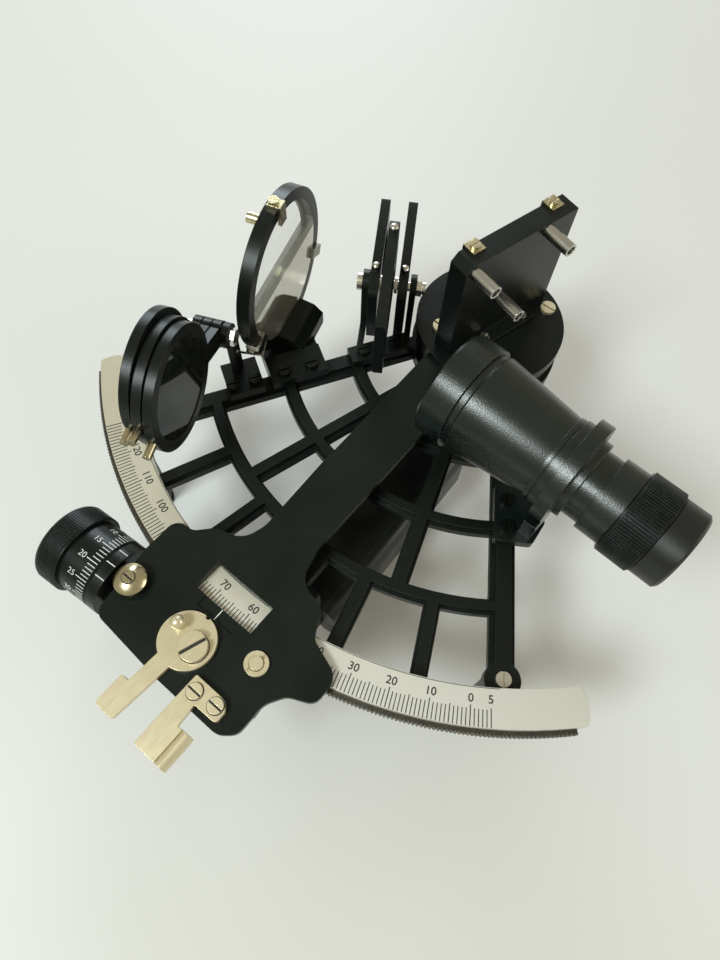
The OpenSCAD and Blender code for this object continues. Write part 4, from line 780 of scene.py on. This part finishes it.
# Wire hook beside the mirror's foot
HOOK_POINTS = [(-15.6, -9.0, 81.0), (-15.9, -10.6, 82.2), (-15.2, -12.4, 82.6), (-14.2, -14.2, 82.4),
               (-13.1, -15.6, 82.3), (-12.4, -16.9, 82.2)]
HOOK_R = 0.32
hook = wire(HOOK_POINTS, HOOK_R, IN_ARM, "mirror_hook")
as_piece("mirror_hook", hook, "index_arm", STEEL)


# Painted shade: dark rings in the gaps round the screw heads and dark bars at the bottom of their slots

LEVER_SLOT_TURN = 70


def slot_shade(reach, half_width, low, high, place):
    """A dark bar of painted shade in a screw's slot, given by half its length and half its width."""
    return block(-reach, reach, -half_width, half_width, low, high, place)


painted_gap_shade = []
for x, y in FINGER_SCREWS:
    spot = IN_ARM @ shift(x, y, FINGER_TOP)
    painted_gap_shade.append(flat_ring(2.72, 0.28, 0.0, 0.04, spot))
    painted_gap_shade.append(slot_shade(2.6, 0.33, 0.5, 0.6, spot))
for x, y in DISC_SCREWS:
    painted_gap_shade.append(slot_shade(3.1, 0.42, 0.72, 0.82, IN_ARM @ shift(x, y, DISC_TOP)))
lever_place = IN_ARM @ shift(*LEVER_SPOT, LEVER_TOP)
painted_gap_shade.append(slot_shade(4.8, 0.58, 1.45, 1.56, lever_place @ turn_z(LEVER_SLOT_TURN)))
dome_place = AT_DOME @ shift(0, 0, DOME_TOP)
painted_gap_shade.append(flat_ring(2.21, 0.27, -0.12, 0.02, dome_place))
painted_gap_shade.append(slot_shade(2.1, 0.33, -0.04, 0.05, dome_place))
# These rings and bars are painted shade, in the black of the engraved fillings.
as_piece("painted_screw_shade", joined(painted_gap_shade, "painted_screw_shade", MARK_AND_SHADE_BLACK), "index_arm")
# A dark ring of painted shade in the gap round the lever's screw.
as_piece("painted_lever_screw_shade", flat_ring(5.02, 0.3, 0.0, 0.05, lever_place), "release_lever",
         MARK_AND_SHADE_BLACK)

# Camera, at the photograph's place: its lens in millimetres, its three axes and its spot
camera_data = bpy.data.cameras.new("camera")
camera_data.lens = 25.43
camera_data.sensor_width = 36.0
camera_data.clip_start = 0.01
camera = bpy.data.objects.new("camera", camera_data)
scene.collection.objects.link(camera)
RIGHT = (0.787668, 0.615605, 0.024696)
UP = (-0.563458, 0.703574, 0.433011)
BACK = (0.249188, -0.354984, 0.901050)
SPOT = (0.06579, -0.18221, 0.30704)
camera.matrix_world = Matrix(tuple((RIGHT[i], UP[i], BACK[i], SPOT[i]) for i in range(3)) + ((0, 0, 0, 1),))
scene.camera = camera


# Table and light

FLOOR_REACH = 3
LAMP_AIM = (0, -0.08, 0.05)


def table_finish():
    """A pale matt table top with a barely visible cloud in it."""
    finish = Finish("pale table", 0.0, 0.55)
    cloud = finish.noise(2.2, 2)
    share = finish.spread(cloud, 0.3, 0.7)
    finish.set("Base Color", finish.between(share, (0.73, 0.735, 0.73), (0.76, 0.76, 0.755)))
    finish.set("Roughness", finish.spread(cloud, 0.3, 0.7, 0.5, 0.62))
    finish.set("Specular IOR Level", 0.2)
    return finish.material


floor_mesh = bpy.data.meshes.new("table")
corners = [(-FLOOR_REACH, -FLOOR_REACH, 0), (FLOOR_REACH, -FLOOR_REACH, 0), (FLOOR_REACH, FLOOR_REACH, 0),
           (-FLOOR_REACH, FLOOR_REACH, 0)]
floor_mesh.from_pydata(corners, [], [(0, 1, 2, 3)])
floor_mesh.materials.append(table_finish())
table = bpy.data.objects.new("table", floor_mesh)
scene.collection.objects.link(table)


def lamp(name, spot, size, power, colour):
    """A flat lamp that faces the object."""
    data = bpy.data.lights.new(name, "AREA")
    data.shape = "RECTANGLE"
    data.size = size[0]
    data.size_y = size[1]
    data.energy = power
    data.color = colour
    light = bpy.data.objects.new(name, data)
    scene.collection.objects.link(light)
    direction = Vector(LAMP_AIM) - Vector(spot)
    light.matrix_world = Matrix.Translation(spot) @ direction.to_track_quat("-Z", "Y").to_matrix().to_4x4()


lamp("key", (-0.95, 1.00, 0.72), (0.7, 0.7), 11.5, (0.80, 0.92, 1.0))
lamp("front", (-0.16, -0.80, 1.00), (0.32, 0.32), 9.0, (0.90, 1.0, 0.97))
lamp("side", (1.15, 0.55, 0.60), (0.8, 0.6), 4.0, (1.0, 0.97, 0.90))

world = bpy.data.worlds.new("room")
scene.world = world
world.use_nodes = True
background = world.node_tree.nodes["Background"]
background.inputs["Color"].default_value = (1.0, 0.91, 0.70, 1)
background.inputs["Strength"].default_value = 0.40
scene.view_settings.view_transform = "Standard"
